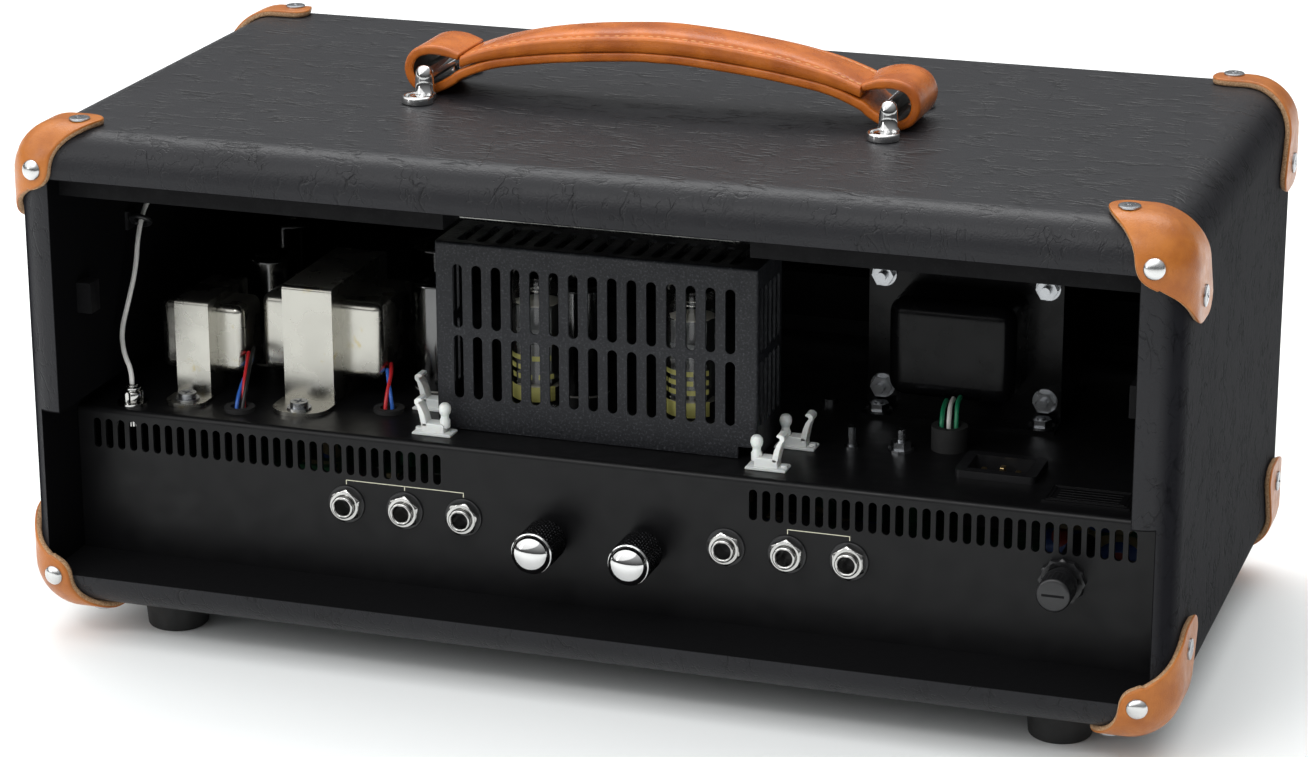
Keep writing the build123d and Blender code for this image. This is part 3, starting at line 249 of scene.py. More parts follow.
def vinyl():
    """Black vinyl covering with long creases whose colour is darkened as painted shade, and flat black paint on the
    inside faces.
    """
    s = Surface("black_vinyl", (0.03, 0.03, 0.035), 0.5)
    x, y, z = s.axes()
    across = s.math("ABSOLUTE", x)
    roof = s.math("LESS_THAN", z, ROOF_Z + 0.0003)
    floor = s.math("GREATER_THAN", z, FLOOR_Z)
    upper = s.math("LESS_THAN", across, WALL_IN + 0.0003)
    groove = s.math("MULTIPLY", s.math("LESS_THAN", across, GROOVE_IN), s.math("LESS_THAN", z, GROOVE_TOP))
    inside = s.math("MULTIPLY", s.math("MULTIPLY", roof, floor), s.math("MAXIMUM", upper, groove))
    outside = s.math("SUBTRACT", 1.0, inside)
    facing = s.band(s.math("ABSOLUTE", s.axes("Normal")[1]), 0.25, 0.8)
    flat = s.math("SUBTRACT", 1.0, facing)
    long_folds = s.creases(9.0, (3.2, 1.0, 1.0), 0.05, 3.0)
    fine_folds = s.creases(4.2, (2.8, 1.0, 1.0), 0.06, 1.5)
    slanted = s.creases(40.0, (1.0, 3.0, 3.0), 0.008, 6.0, (0.2, 0.3, 0.9))
    wrapped = s.creases(4.5, (1.0, 1.0, 1.6), 0.035, 1.5, (0, 0.6, 0))
    wrapped_long = s.creases(16.0, (1.0, 1.0, 2.0), 0.014, 3.0, (0, -0.5, 0))
    top_height = s.math("ADD", long_folds, s.math("MULTIPLY", fine_folds, 0.5))
    rear_height = s.math("ADD", s.math("MULTIPLY", wrapped, 0.55), s.math("MULTIPLY", wrapped_long, 0.7))
    folds = s.math("ADD", s.math("MULTIPLY", top_height, flat), s.math("MULTIPLY", rear_height, facing))
    folds = s.math("ADD", folds, s.math("MULTIPLY", slanted, 0.4))
    folds = s.math("MULTIPLY", folds, s.band(s.noise(13, 2), 0.42, 0.62, 0.12, 1.0))
    folds = s.math("MULTIPLY", folds, outside)
    grain = s.math("MULTIPLY", s.cells(0.75, smooth=0.6), outside)
    tone = s.blend(s.noise(45, 3), (0.0105, 0.0106, 0.0125), (0.0165, 0.0166, 0.019))
    # Painted shade: the fold lines darken the vinyl's colour towards near black.
    tone_with_painted_crease_shade = s.blend(s.math("MULTIPLY", folds, 0.5, True), tone, (0.002, 0.002, 0.0025))
    s.link(s.blend(inside, tone_with_painted_crease_shade, (0.004, 0.004, 0.0045)), s.bsdf.inputs["Base Color"])
    sideways = s.band(s.math("ABSOLUTE", s.axes("Normal")[0]), 0.35, 0.85)
    rough = s.math("ADD", s.math("MULTIPLY", s.noise(3.0, 4), 0.14), 0.33)
    rough = s.math("ADD", rough, s.math("MULTIPLY", s.math("MAXIMUM", inside, sideways), 0.35), True)
    s.link(rough, s.bsdf.inputs["Roughness"])
    sheen = s.math("SUBTRACT", 0.34, s.math("MULTIPLY", sideways, 0.29))
    sheen = s.math("SUBTRACT", sheen, s.math("MULTIPLY", facing, 0.12))
    s.link(s.math("MULTIPLY", sheen, s.band(inside, 0.0, 1.0, 1.0, 0.25), True), s.bsdf.inputs["Specular IOR Level"])
    s.bump(s.math("MULTIPLY", folds, -1.0), 0.3)
    s.bump(grain, 0.07)
    s.bump(s.noise(1.4, 4), 0.06)
    return s.material


def leather(name, dark, light, roughness, grain=0.9):
    """Tan leather: soft pores, cloudy colour and a waxed surface."""
    s = Surface(name, light, roughness, Coat_Weight=0.18, Coat_Roughness=0.22, Specular_IOR_Level=0.3)
    clouds = s.noise(16, 5, rough=0.6)
    pores = s.cells(grain, s.warped(s.scaled(), 2.5, 1.0), "DISTANCE_TO_EDGE")
    s.color_between(dark, light, s.band(clouds, 0.3, 0.68))
    s.rough_between(roughness - 0.07, roughness + 0.1, s.noise(5, 4))
    s.bump(s.band(pores, 0.0, 0.2), 0.035)
    s.bump(s.noise(0.5, 3), 0.03)
    s.bump(s.noise(7, 3), 0.12)
    return s.material


def cut_leather():
    """Raw cut edge of leather: pale and fibrous."""
    s = Surface("cut_leather", (0.42, 0.24, 0.13), 0.85)
    fibres = s.noise(0.7, 5, rough=0.7)
    s.color_between((0.24, 0.12, 0.055), (0.60, 0.38, 0.21), s.band(fibres, 0.3, 0.7))
    s.bump(fibres, 0.25)
    s.bump(s.noise(2.5, 3), 0.15)
    return s.material


def metal(name, color, roughness, brush=None, grain_mm=0.5, depth=0.01, spread=0.06, stain=None):
    """Bare or plated metal with fine scratches, and yellowed patches if asked for."""
    s = Surface(name, color, roughness, 1.0)
    marks = s.noise(grain_mm, 4, s.scaled(brush) if brush else None, 0.6)
    cloudy = s.noise(14, 4)
    if stain:
        patch = s.band(s.noise(11, 5, rough=0.65), 0.6, 0.74)
        s.color_between(color, stain, patch)
    else:
        s.color_between(tuple(c * 0.86 for c in color), color, s.band(cloudy, 0.3, 0.6))
    s.rough_between(roughness - spread * 0.5, roughness + spread, cloudy)
    s.bump(marks, depth)
    return s.material


def paint(name, color, roughness, grain_mm=0.8, depth=0.02, coat=0.0, specular=0.5):
    """Paint or powder coat with a faint orange peel."""
    s = Surface(name, color, roughness, Coat_Weight=coat, Coat_Roughness=0.15, Specular_IOR_Level=specular)
    s.color_between(tuple(c * 0.75 for c in color), tuple(c * 1.15 for c in color), s.noise(22, 4))
    s.rough_between(roughness - 0.05, roughness + 0.08, s.noise(9, 4))
    s.bump(s.noise(grain_mm, 3, rough=0.6), depth)
    return s.material


def speckled(name, color, spot, roughness, grain_mm, depth, specular=0.5):
    """Fine textured powder coat with paler speckles."""
    s = Surface(name, color, roughness, Specular_IOR_Level=specular)
    grains = s.noise(grain_mm, 4, rough=0.7)
    s.color_between(color, spot, s.band(grains, 0.5, 0.72))
    s.rough_between(roughness - 0.05, roughness + 0.1, s.noise(8, 4))
    s.bump(grains, depth)
    s.bump(s.cells(grain_mm * 1.6, smooth=0.7), depth * 0.8)
    return s.material


def plastic(name, color, roughness, grain_mm=1.2, depth=0.012, shift=0.12, **sockets):
    """Moulded plastic or rubber with slight flow marks."""
    s = Surface(name, color, roughness, **sockets)
    s.color_between(tuple(c * (1 - shift) for c in color), tuple(min(1, c * (1 + shift)) for c in color),
                    s.noise(12, 4))
    s.rough_between(roughness - 0.05, roughness + 0.08, s.noise(4, 4))
    s.bump(s.noise(grain_mm, 3), depth)
    return s.material


def glass():
    """Thin clear envelope: almost no bending of light, with a clear coat for its reflections."""
    s = Surface("tube_envelope", (0.93, 0.95, 0.94), 0.04, Transmission_Weight=1.0, IOR=1.03,
                Coat_Weight=1.0, Coat_Roughness=0.02)
    s.color_between((0.88, 0.91, 0.9), (0.96, 0.97, 0.96), s.noise(9, 3))
    s.bump(s.noise(14, 2), 0.08)
    return s.material


def cloth():
    """Plain woven grille cloth: threads over and under, with paler flecks."""
    s = Surface("grille_weave", (0.02, 0.02, 0.02), 0.85, Sheen_Weight=0.3, Sheen_Roughness=0.5)
    x, y, z = s.axes()
    warp = s.math("SINE", s.math("MULTIPLY", x, math.tau / 0.0016))
    weft = s.math("SINE", s.math("MULTIPLY", z, math.tau / 0.0016))
    weave = s.math("MULTIPLY", warp, weft)
    fleck = s.band(s.noise(2.2, 3, s.scaled((0.5, 1, 4))), 0.55, 0.66)
    base = s.blend(s.band(weave, -0.6, 0.6), (0.010, 0.010, 0.011), (0.045, 0.045, 0.047))
    s.link(s.blend(fleck, base, (0.14, 0.14, 0.13)), s.bsdf.inputs["Base Color"])
    s.bump(weave, 0.22)
    s.bump(s.noise(0.25, 3), 0.05)
    return s.material


def board_green():
    s = Surface("solder_mask", (0.02, 0.12, 0.05), 0.35, Coat_Weight=0.3)
    tracks = s.creases(9.0, (1, 1, 1), 0.05, 0.0)
    s.color_between((0.012, 0.085, 0.035), (0.05, 0.2, 0.08), tracks)
    s.bump(tracks, 0.05)
    return s.material


def boxes_mixed():
    """Electronic parts on the board: brown, blue, silver and red by place."""
    s = Surface("board_parts", (0.3, 0.25, 0.15), 0.45)
    pick = s.cells(26, feature="F1")
    node = s.tree.nodes.new("ShaderNodeValToRGB")
    node.color_ramp.interpolation = "CONSTANT"
    tones = [(0.0, (0.30, 0.03, 0.02)), (0.22, (0.02, 0.07, 0.28)), (0.4, (0.45, 0.38, 0.22)),
             (0.58, (0.03, 0.16, 0.07)), (0.76, (0.5, 0.5, 0.48))]
    ramp = node.color_ramp
    while len(ramp.elements) < len(tones):
        ramp.elements.new(0.5)
    for element, (place, tone) in zip(ramp.elements, tones):
        element.position = place
        element.color = (*tone, 1)
    s.link(pick, node.inputs[0])
    s.link(node.outputs[0], s.bsdf.inputs["Base Color"])
    s.bump(s.noise(1.0, 3), 0.03)
    return s.material


VINYL = vinyl()
STRAP = leather("strap_leather", (0.36, 0.082, 0.007), (0.54, 0.145, 0.016), 0.3)
PATCH = leather("corner_leather", (0.33, 0.093, 0.012), (0.46, 0.15, 0.022), 0.36, 1.1)
CUT = cut_leather()
THREAD = plastic("waxed_thread", (0.62, 0.30, 0.11), 0.6, 0.3, 0.05)
# Near-black leather for the inside of the handle loops: painted shade where each loop wraps round its bar.
STRAP_LOOP_SHADE = leather("painted_loop_shade_leather", (0.02, 0.015, 0.012), (0.05, 0.035, 0.025), 0.5)
CHROME = metal("chrome", (0.66, 0.66, 0.655), 0.06, None, 6.0, 0.01, 0.03)
NAIL = metal("nail_nickel", (0.66, 0.66, 0.65), 0.2, None, 5.0, 0.02, 0.08)
NUT_CHROME = metal("nickel_nut", (0.52, 0.515, 0.50), 0.12, None, 2.0, 0.01, 0.06)
ZINC = metal("zinc_plate", (0.40, 0.41, 0.425), 0.22, None, 0.6, 0.02, 0.12)
NICKEL = metal("nickel_shell", (0.44, 0.43, 0.39), 0.25, (1, 1, 5), 0.5, 0.012, 0.08, (0.40, 0.33, 0.15))
# Nickel shield metal darkened to 0.13 grey: painted dark reflection of the surroundings, not the plating's own
# colour.
SHIELD = metal("shield_nickel_painted_dark_reflection", (0.13, 0.13, 0.13), 0.13, (1, 1, 8), 0.6, 0.01, 0.06)
SHIELD_BRIGHT = metal("shield_bright", (0.8, 0.79, 0.75), 0.2, None, 0.6, 0.015, 0.06)
GETTER = metal("getter_mirror", (0.45, 0.43, 0.42), 0.12, None, 3.0, 0.01, 0.05)
BRASS = metal("brass_pin", (0.75, 0.55, 0.26), 0.3, None, 0.8, 0.01)
TRAY = metal("tank_steel", (0.42, 0.42, 0.40), 0.4, (6, 1, 1), 0.6, 0.02, 0.1)
POT = metal("pot_can", (0.6, 0.6, 0.58), 0.32, None, 0.7, 0.01)
PLATE_GREY = metal("tube_plate", (0.16, 0.16, 0.165), 0.5, None, 0.8, 0.02)
BLACK_STEEL = paint("black_satin_steel", (0.0055, 0.0055, 0.006), 0.34, 0.7, 0.012, specular=0.2)
PANEL = paint("panel_black", (0.008, 0.008, 0.009), 0.4, 0.6, 0.015, specular=0.3)
BELL = paint("black_gloss_bell", (0.003, 0.003, 0.0035), 0.22, 2.5, 0.02, coat=0.04, specular=0.12)
CORE = speckled("varnished_laminations", (0.003, 0.003, 0.0035), (0.008, 0.008, 0.008), 0.5, 0.6, 0.05, 0.15)
CAGE = speckled("cage_powder_coat", (0.0075, 0.0082, 0.0105), (0.052, 0.055, 0.062), 0.5, 1.0, 0.14, 0.3)
RAIL = speckled("black_wood", (0.004, 0.004, 0.0045), (0.008, 0.008, 0.009), 0.6, 1.2, 0.05, 0.1)
BLACK_PLASTIC = plastic("black_plastic", (0.010, 0.010, 0.011), 0.34)
KNURL = metal("knurled_black_metal", (0.075, 0.075, 0.08), 0.22, None, 2.0, 0.01, 0.05)
KNOB = plastic("knob_black", (0.014, 0.014, 0.015), 0.2, Specular_IOR_Level=0.8)
RUBBER = plastic("foot_rubber", (0.011, 0.011, 0.011), 0.7, 0.6, 0.05)
NYLON = plastic("nylon", (0.80, 0.80, 0.77), 0.38, 1.0, 0.02, 0.04, Subsurface_Weight=0.1)
WHITE_LEAD = plastic("white_lead", (0.72, 0.71, 0.68), 0.42, 0.8, 0.02, 0.06)
PRINT = plastic("cream_print", (0.72, 0.70, 0.55), 0.5, 0.4, 0.01, 0.05)
BAND_PRINT = plastic("tube_print", (0.42, 0.40, 0.12), 0.5, 0.4, 0.01, 0.1)
MICA = plastic("mica", (0.55, 0.52, 0.45), 0.4, 0.5, 0.02)
CERAMIC = plastic("socket_ceramic", (0.55, 0.54, 0.5), 0.5)
LAMP = plastic("jewel", (0.42, 0.015, 0.01), 0.12, 1.0, 0.02, 0.2, Coat_Weight=1.0)
GLASS = glass()
CLOTH = cloth()
GREEN_BOARD = board_green()
PARTS = boxes_mixed()
WIRES = {
    "red": plastic("wire_red", (0.55, 0.02, 0.025), 0.35, 0.5, 0.01),
    "blue": plastic("wire_blue", (0.03, 0.13, 0.5), 0.35, 0.5, 0.01),
    "green": plastic("wire_green", (0.01, 0.2, 0.09), 0.35, 0.5, 0.01),
    "black": plastic("wire_black", (0.012, 0.012, 0.012), 0.35, 0.5, 0.01),
    "white": WHITE_LEAD,
}


# ---- mesh helpers ----
def box_mm(node):
    return [Vector(corner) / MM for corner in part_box(node)]


def finish_piece(piece, material, body="cabinet", replaces=(), slot=None):
    piece.data.materials.append(material)
    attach(piece, body)
    if replaces:
        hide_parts(*replaces)
    return piece


def from_bmesh(name, bm, material, smooth=True, **options):
    bmesh.ops.recalc_face_normals(bm, faces=bm.faces)
    mesh = bpy.data.meshes.new(name)
    bm.to_mesh(mesh)
    bm.free()
    for face in mesh.polygons:
        face.use_smooth = smooth
    piece = bpy.data.objects.new(name, mesh)
    bpy.context.scene.collection.objects.link(piece)
    return finish_piece(piece, material, **options)


def frame_at(origin, axis):
    """A matrix whose Z runs along axis."""
    turn = Vector(axis).to_track_quat("Z", "Y").to_matrix().to_4x4()
    return Matrix.Translation(origin) @ turn


def bridge(bm, rings, closed=True):
    """Joins neighbouring rings, or rows when not closed, with quads."""
    for a, b in zip(rings, rings[1:]):
        for i in range(len(a) if closed else len(a) - 1):
            j = (i + 1) % len(a)
            bm.faces.new((a[i], a[j], b[j], b[i]))


def capped(bm, rings):
    bridge(bm, rings)
    bm.faces.new(rings[0])
    bm.faces.new(list(reversed(rings[-1])))


def spin(bm, profile, place, steps=48, shape=None):
    """Adds a turned shape: profile is (radius, height) pairs in millimetres, along place's Z."""
    rings = []
    for radius, height in profile:
        if radius <= 1e-6:
            rings.append([bm.verts.new(place @ Vector((0, 0, height * MM)))])
            continue
        ring = []
        for n in range(steps):
            angle = math.tau * n / steps
            r = radius * (shape(angle, height) if shape else 1.0)
            ring.append(bm.verts.new(place @ Vector((r * math.cos(angle) * MM, r * math.sin(angle) * MM,
                                                     height * MM))))
        rings.append(ring)
    for a, b in zip(rings, rings[1:]):
        for n in range(steps):
            m = (n + 1) % steps
            if len(a) == 1 and len(b) == 1:
                continue
            if len(a) == 1:
                bm.faces.new((a[0], b[n], b[m]))
            elif len(b) == 1:
                bm.faces.new((a[n], a[m], b[0]))
            else:
                bm.faces.new((a[n], a[m], b[m], b[n]))


def slab(bm, low, high):
    """Adds a box between two corners in millimetres."""
    size = [(h - l) * MM for l, h in zip(low, high)]
    centre = [(h + l) / 2 * MM for l, h in zip(low, high)]
    bmesh.ops.create_cube(bm, size=1.0, matrix=Matrix.Translation(centre) @ Matrix.Diagonal((*size, 1)))


def bevel(piece, width, segments=2, angle=35):
    step = piece.modifiers.new("edges", "BEVEL")
    step.width = width * MM
    step.segments = segments
    step.limit_method = "ANGLE"
    step.angle_limit = math.radians(angle)
    step.harden_normals = True
    return piece


def wire(name, points, radius, material, body="cabinet", replaces=(), slot=None):
    """A round lead on one smooth line through its control points."""
    curve = bpy.data.curves.new(name, "CURVE")
    curve.dimensions = "3D"
    curve.bevel_depth = radius
    curve.bevel_resolution = 5
    curve.resolution_u = 10
    curve.use_fill_caps = True
    line = curve.splines.new("NURBS")
    line.points.add(len(points) - 1)
    for point, place in zip(line.points, points):
        point.co = (*place, 1)
    line.order_u = 3
    line.use_endpoint_u = True
    piece = bpy.data.objects.new(name, curve)
    bpy.context.scene.collection.objects.link(piece)
    return finish_piece(piece, material, body, replaces, slot)


def dress(material, *nodes):
    """Gives CAD nodes a better material."""
    for node in nodes:
        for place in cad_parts[node].material_slots:
            place.material = material


# ---- camera and cord first ----
make_camera()

LEAD_RADIUS = 1.05
LEAD = [(203.7, 2.0, 183.0), (209.5, 4.5, 182.5), (214.4, 12.0, 181.0), (217.0, 24.0, 178.5),
        (217.6, 38.0, 175.0), (217.4, 49.5, 170.4), (216.8, 58.0, 160.6), (216.2, 62.5, 147.0),
        (217.6, 68.0, 134.0), (219.0, 73.5, 122.0), (215.0, 79.5, 114.0), (210.5, 82.4, 108.6),
        (210.5, 82.5, 102.65)]
lead = wire("reverb_lead_wire", [[c * MM for c in p] for p in LEAD], LEAD_RADIUS * MM, WHITE_LEAD,
            replaces=["reverb_lead"], slot="white_lead")


def phono_plug():
    """Nickel phono plug: slotted skirt, waist and a ribbed tail."""
    low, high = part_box("phono_plug")
    x, y = (low[0] + high[0]) / 2, (low[1] + high[1]) / 2
    place = Matrix.Translation((x, y, DECK_Z))
    bm = bmesh.new()
    spin(bm, [(0, 1.2), (4.3, 1.2), (4.6, 1.6), (4.6, 5.2), (4.2, 5.9), (3.3, 6.1), (3.1, 6.6), (3.9, 6.9),
              (3.9, 7.5), (3.0, 7.8), (2.4, 8.1), (2.6, 8.3), (2.3, 8.6), (0, 8.6)], place, 48,
         lambda a, h: 1.0 - (0.13 if 1.5 < h < 5.5 and abs(math.sin(2 * a)) < 0.3 else 0.0))
    spin(bm, [(0, -8.0), (1.2, -7.6), (1.6, -7.0), (1.6, 1.3), (0, 1.3)], place, 24)
    return bevel(from_bmesh("phono_plug_metal", bm, NUT_CHROME, replaces=["phono_plug"], slot="bright_nut"),
                 0.15, 2, 50)


plug = phono_plug()
make_studio()

# ---- leather corners ----
def rounded_box_distance(x, y, z):
    """Signed distance to the covered box, in millimetres from its middle, negative inside."""
    qx = abs(x) - HALF_W + EDGE_R
    qz = abs(z) - (CAB_TOP - CAB_LOW) / 2 + EDGE_R
    flat = math.hypot(max(qx, 0), max(qz, 0)) + min(max(qx, qz), 0) - EDGE_R
    px, py = flat + FACE_R, abs(y) - HALF_D + FACE_R
    return math.hypot(max(px, 0), max(py, 0)) + min(max(px, py), 0) - FACE_R


def soft_min(a, b, width):
    share = max(width - abs(a - b), 0.0) / width
    return min(a, b) - share * share * width / 4


def patch_depth(a, b, c):
    """How far inside the patch's outline a surface point is: a in from the side, b from the face, c from the top."""
    side_reach = 26.0 + 14.5 * min(1.0, max(0.0, c) / 34.0) ** 1.15
    top_line = (19.6 + b - a) / (1.414 if b > 0.5 else 1.0)
    side_line = (23.6 + b - c) / (1.414 if b > 0.5 else 1.0)
    depth = soft_min(top_line, side_line, 11.0)
    ends = soft_min(33.4 - a, soft_min(side_reach - b, 40.4 - c, 9.0), 8.0)
    return soft_min(depth, ends, 6.0)


PATCH_SKIN = 3.05        # outer face of the leather above the covering
HALF_H = (CAB_TOP - CAB_LOW) / 2
PATCH_Q = (HALF_W - 30.0, HALF_D - 30.0, HALF_H - 30.0)
PATCH_AXES = (Vector((1, 1, 1)).normalized(), Vector((1, -1, 0)).normalized(), Vector((1, 1, -2)).normalized())


def patch_ray(turn, tilt):
    out, across, down = PATCH_AXES
    return out * math.cos(tilt) + (across * math.cos(turn) + down * math.sin(turn)) * math.sin(tilt)


def patch_hit(turn, tilt, offset):
    """The point where a ray from inside the corner meets the box grown by offset."""
    ray = patch_ray(turn, tilt)
    low, high = 5.0, 110.0
    for _ in range(26):
        mid = (low + high) / 2
        point = [q + r * mid for q, r in zip(PATCH_Q, ray)]
        if rounded_box_distance(*point) < offset:
            low = mid
        else:
            high = mid
    return Vector([q + r * low for q, r in zip(PATCH_Q, ray)])


def patch_edge(turn):
    """The tilt at which the surface leaves the patch's outline."""
    low, high = 0.05, 1.5
    for _ in range(22):
        mid = (low + high) / 2
        p = patch_hit(turn, mid, 0.0)
        if patch_depth(HALF_W - p.x, HALF_D - p.y, HALF_H - p.z) > 0:
            low = mid
        else:
            high = mid
    return low


def corner_shape():
    """Points, faces and material numbers of one leather corner, in millimetres from the box's middle."""
    steps, rim, skin, under = 168, 0.8, PATCH_SKIN, 0.25
    edges = [patch_edge(math.tau * n / steps) for n in range(steps)]
    spans = [(patch_hit(math.tau * n / steps, edges[n], 0.0) - Vector(PATCH_Q)).length for n in range(steps)]
    rings = [(share, 0.0, skin, 0) for share in (0.1, 0.2, 0.3, 0.4, 0.5, 0.6, 0.7, 0.78, 0.85)]
    rings += [(1.0, rim * 1.7, skin, 0), (1.0, rim * 1.2, skin - 0.02, 0)]
    for step in range(6):
        angle = math.radians(90 - 15 * (step + 1))
        rings.append((1.0, rim * (1 - math.cos(angle)), skin - rim * (1 - math.sin(angle)), 0))
    rings += [(1.0, -0.05, skin - rim - 0.5, 1), (1.0, 0.02, skin - rim - 1.1, 1), (1.0, 0.2, under, 1),
              (0.9, 0.0, under, 1), (0.5, 0.0, under, 1)]
    points = [patch_hit(0.0, 0.0, skin)]
    faces, numbers = [], []
    for count, (share, inward, offset, number) in enumerate(rings):
        for n in range(steps):
            tilt = edges[n] * share - inward / spans[n]
            points.append(patch_hit(math.tau * n / steps, tilt, offset))
        start = 1 + count * steps
        for n in range(steps):
            m = (n + 1) % steps
            if count == 0:
                faces.append((0, start + n, start + m))
            else:
                faces.append((start - steps + n, start + n, start + m, start - steps + m))
            numbers.append(number)
    points.append(patch_hit(0.0, 0.0, under))
    start = 1 + (len(rings) - 1) * steps
    for n in range(steps):
        faces.append((len(points) - 1, start + (n + 1) % steps, start + n))
        numbers.append(1)
    return points, faces, numbers


def make_corners():
    points, faces, numbers = corner_shape()
    middle = (CAB_TOP + CAB_LOW) / 2
    for upper, node in ((1, "corner_patches_top"), (-1, "corner_patches_bottom")):
        for side, side_name in ((1, "reverb_side"), (-1, "power_side")):
            for face, face_name in ((1, "rear"), (-1, "front")):
                mesh = bpy.data.meshes.new("leather_corner")
                turned = side * face * upper < 0
                mesh.from_pydata([(p.x * side * MM, p.y * face * MM, (p.z * upper + middle) * MM) for p in points],
                                 [], [tuple(reversed(f)) if not turned else f for f in faces])
                piece = bpy.data.objects.new(f"{node}_{face_name}_{side_name}", mesh)
                bpy.context.scene.collection.objects.link(piece)
                finish_piece(piece, PATCH, replaces=[node], slot="tan_leather")
                mesh.materials.append(CUT)
                for polygon, number in zip(mesh.polygons, numbers):
                    polygon.material_index = number
                    polygon.use_smooth = True
                mesh.update()


make_corners()


# ---- screws and nails ----
RECESS_LIFT = 0.0525      # rise of the recess's rim over the flat head, as a share of its height


def cross_recess_screw(bm, place, radius, height, turn):
    """A screw head with a Phillips recess: rings follow the recess's four arms."""
    steps = 64
    heights = [(radius, 0.0), (radius, height * 0.55), (radius * 0.95, height * 0.82), (radius * 0.8, height * 0.95),
               (radius * 0.62, height)]
    spin(bm, heights, place, steps)

    def arm(angle, share):
        wave = abs(math.cos(2 * (angle + turn)))
        return radius * share * (0.34 + 0.66 * wave ** 5)

    previous = list(bm.verts)[-steps:]
    for share, drop in ((0.58, 0.0), (0.54, -height * 0.35), (0.2, -height * 0.8)):
        ring = []
        for n in range(steps):
            angle = math.tau * n / steps
            reach = arm(angle, share)
            lift = height + drop + RECESS_LIFT * height
            ring.append(bm.verts.new(place @ Vector((reach * math.cos(angle) * MM, reach * math.sin(angle) * MM,
                                                     lift * MM))))
        bridge(bm, [previous, ring])
        previous = ring
    bm.faces.new(previous)


def make_corner_fasteners():
    nails, screws = bmesh.new(), bmesh.new()
    skin = PATCH_SKIN
    for upper in (1, -1):
        level = CAB_TOP if upper > 0 else CAB_LOW
        for side in (1, -1):
            for face in (1, -1):
                nail_at = Vector((side * (HALF_W - 11.5), face * (HALF_D + skin - 0.7), level - upper * 14.8)) * MM
                lean = Vector((side * 0.2, face, upper * 0.1))
                spin(nails, [(4.2, -0.6), (4.3, 0.0), (4.2, 0.5), (3.85, 1.15), (3.2, 1.75), (2.3, 2.2),
                             (1.2, 2.45), (0, 2.55)], frame_at(nail_at, lean), 40)
                top_at = Vector((side * (HALF_W - 25.0), face * (HALF_D - 15.5), level + upper * skin)) * MM
                cross_recess_screw(screws, frame_at(top_at, (0, 0, upper)), 4.3, 1.0, random.uniform(0, 1.5))
                side_at = Vector((side * (HALF_W + skin), face * (HALF_D - 24.0), level - upper * 31.0)) * MM
                cross_recess_screw(screws, frame_at(side_at, (side, 0, 0)), 4.3, 1.0, random.uniform(0, 1.5))
    from_bmesh("corner_nail_heads", nails, NAIL, replaces=["corner_nails"], slot="bright_nail")
    bevel(from_bmesh("corner_screw_heads", screws, ZINC, replaces=["corner_screws"], slot="zinc_screw"), 0.12)


make_corner_fasteners()


# ---- handle ----
HANDLE_Y = 2.0
STRAP_HALF = 15.0
LOOP_MID = (100.5, CAB_TOP + 10.5)
CROWN = CAB_TOP + 22.5


def smooth_line(points, samples):
    """A Catmull-Rom line through 2-D points."""
    padded = [points[0]] + list(points) + [points[-1]]
    result = []
    pieces = len(points) - 1
    for n in range(samples + 1):
        t = min(n / samples * pieces, pieces - 1e-6)
        i, f = int(t), t - int(t)
        a, b, c, d = (padded[i + k] for k in range(4))
        result.append(tuple(0.5 * ((2 * b[k]) + (c[k] - a[k]) * f + (2 * a[k] - 5 * b[k] + 4 * c[k] - d[k]) * f * f
                                   + (3 * b[k] - a[k] - 3 * c[k] + d[k]) * f ** 3) for k in range(2)))
    return result


def half_strap_line():
    radius, diagonal = 8.5, 8.5 * 0.7071
    x, z = LOOP_MID
    return [(12, CROWN - 0.2), (37, CROWN - 2.3), (54, CROWN - 4.4), (72, CROWN - 7.6), (85.3, CROWN - 12.6),
            (90, CROWN - 15.9), (95.3, CROWN - 18.8), (x, z - radius), (x + diagonal, z - diagonal), (x + radius, z),
            (x + diagonal, z + diagonal), (x, z + radius), (x - 7.2, z + 8.2), (x - 13.7, z + 6.4)]


def band_section(half_width, thickness, corner, steps=5):
    """Cross-section of a strap: (across, up) points with rounded corners, starting under the middle."""
    points, flat = [], 2 * half_width - 2 * corner
    for sx, sz, first in ((1, -1, -90), (1, 1, 0), (-1, 1, 90), (-1, -1, 180)):
        cx, cz = sx * (half_width - corner), sz * (thickness / 2 - corner)
        for n in range(steps + 1):
            angle = math.radians(first + 90 * n / steps)
            points.append((cx + corner * math.cos(angle), cz + corner * math.sin(angle)))
        if (sx, sz) == (1, 1):
            points += [(half_width - corner - k * flat / 12, thickness / 2) for k in range(1, 12)]
        if (sx, sz) == (-1, -1):
            points += [(-half_width + corner + k * flat / 12, -thickness / 2) for k in range(1, 12)]
    return points


def sweep(bm, line, section_at, centre_y):
    """Skins sections along an (x, z) line; section_at(n) gives the (across, up) points of step n."""
    rings = []
    for n, (x, z) in enumerate(line):
        before, after = line[max(0, n - 1)], line[min(len(line) - 1, n + 1)]
        along = Vector((after[0] - before[0], 0, after[1] - before[1])).normalized()
        up = Vector((-along.z, 0, along.x))
        ring = []
        for across, lift in section_at(n):
            place = Vector((x, centre_y + across, z)) + up * lift
            ring.append(bm.verts.new(place * MM))
        rings.append(ring)
    capped(bm, rings)


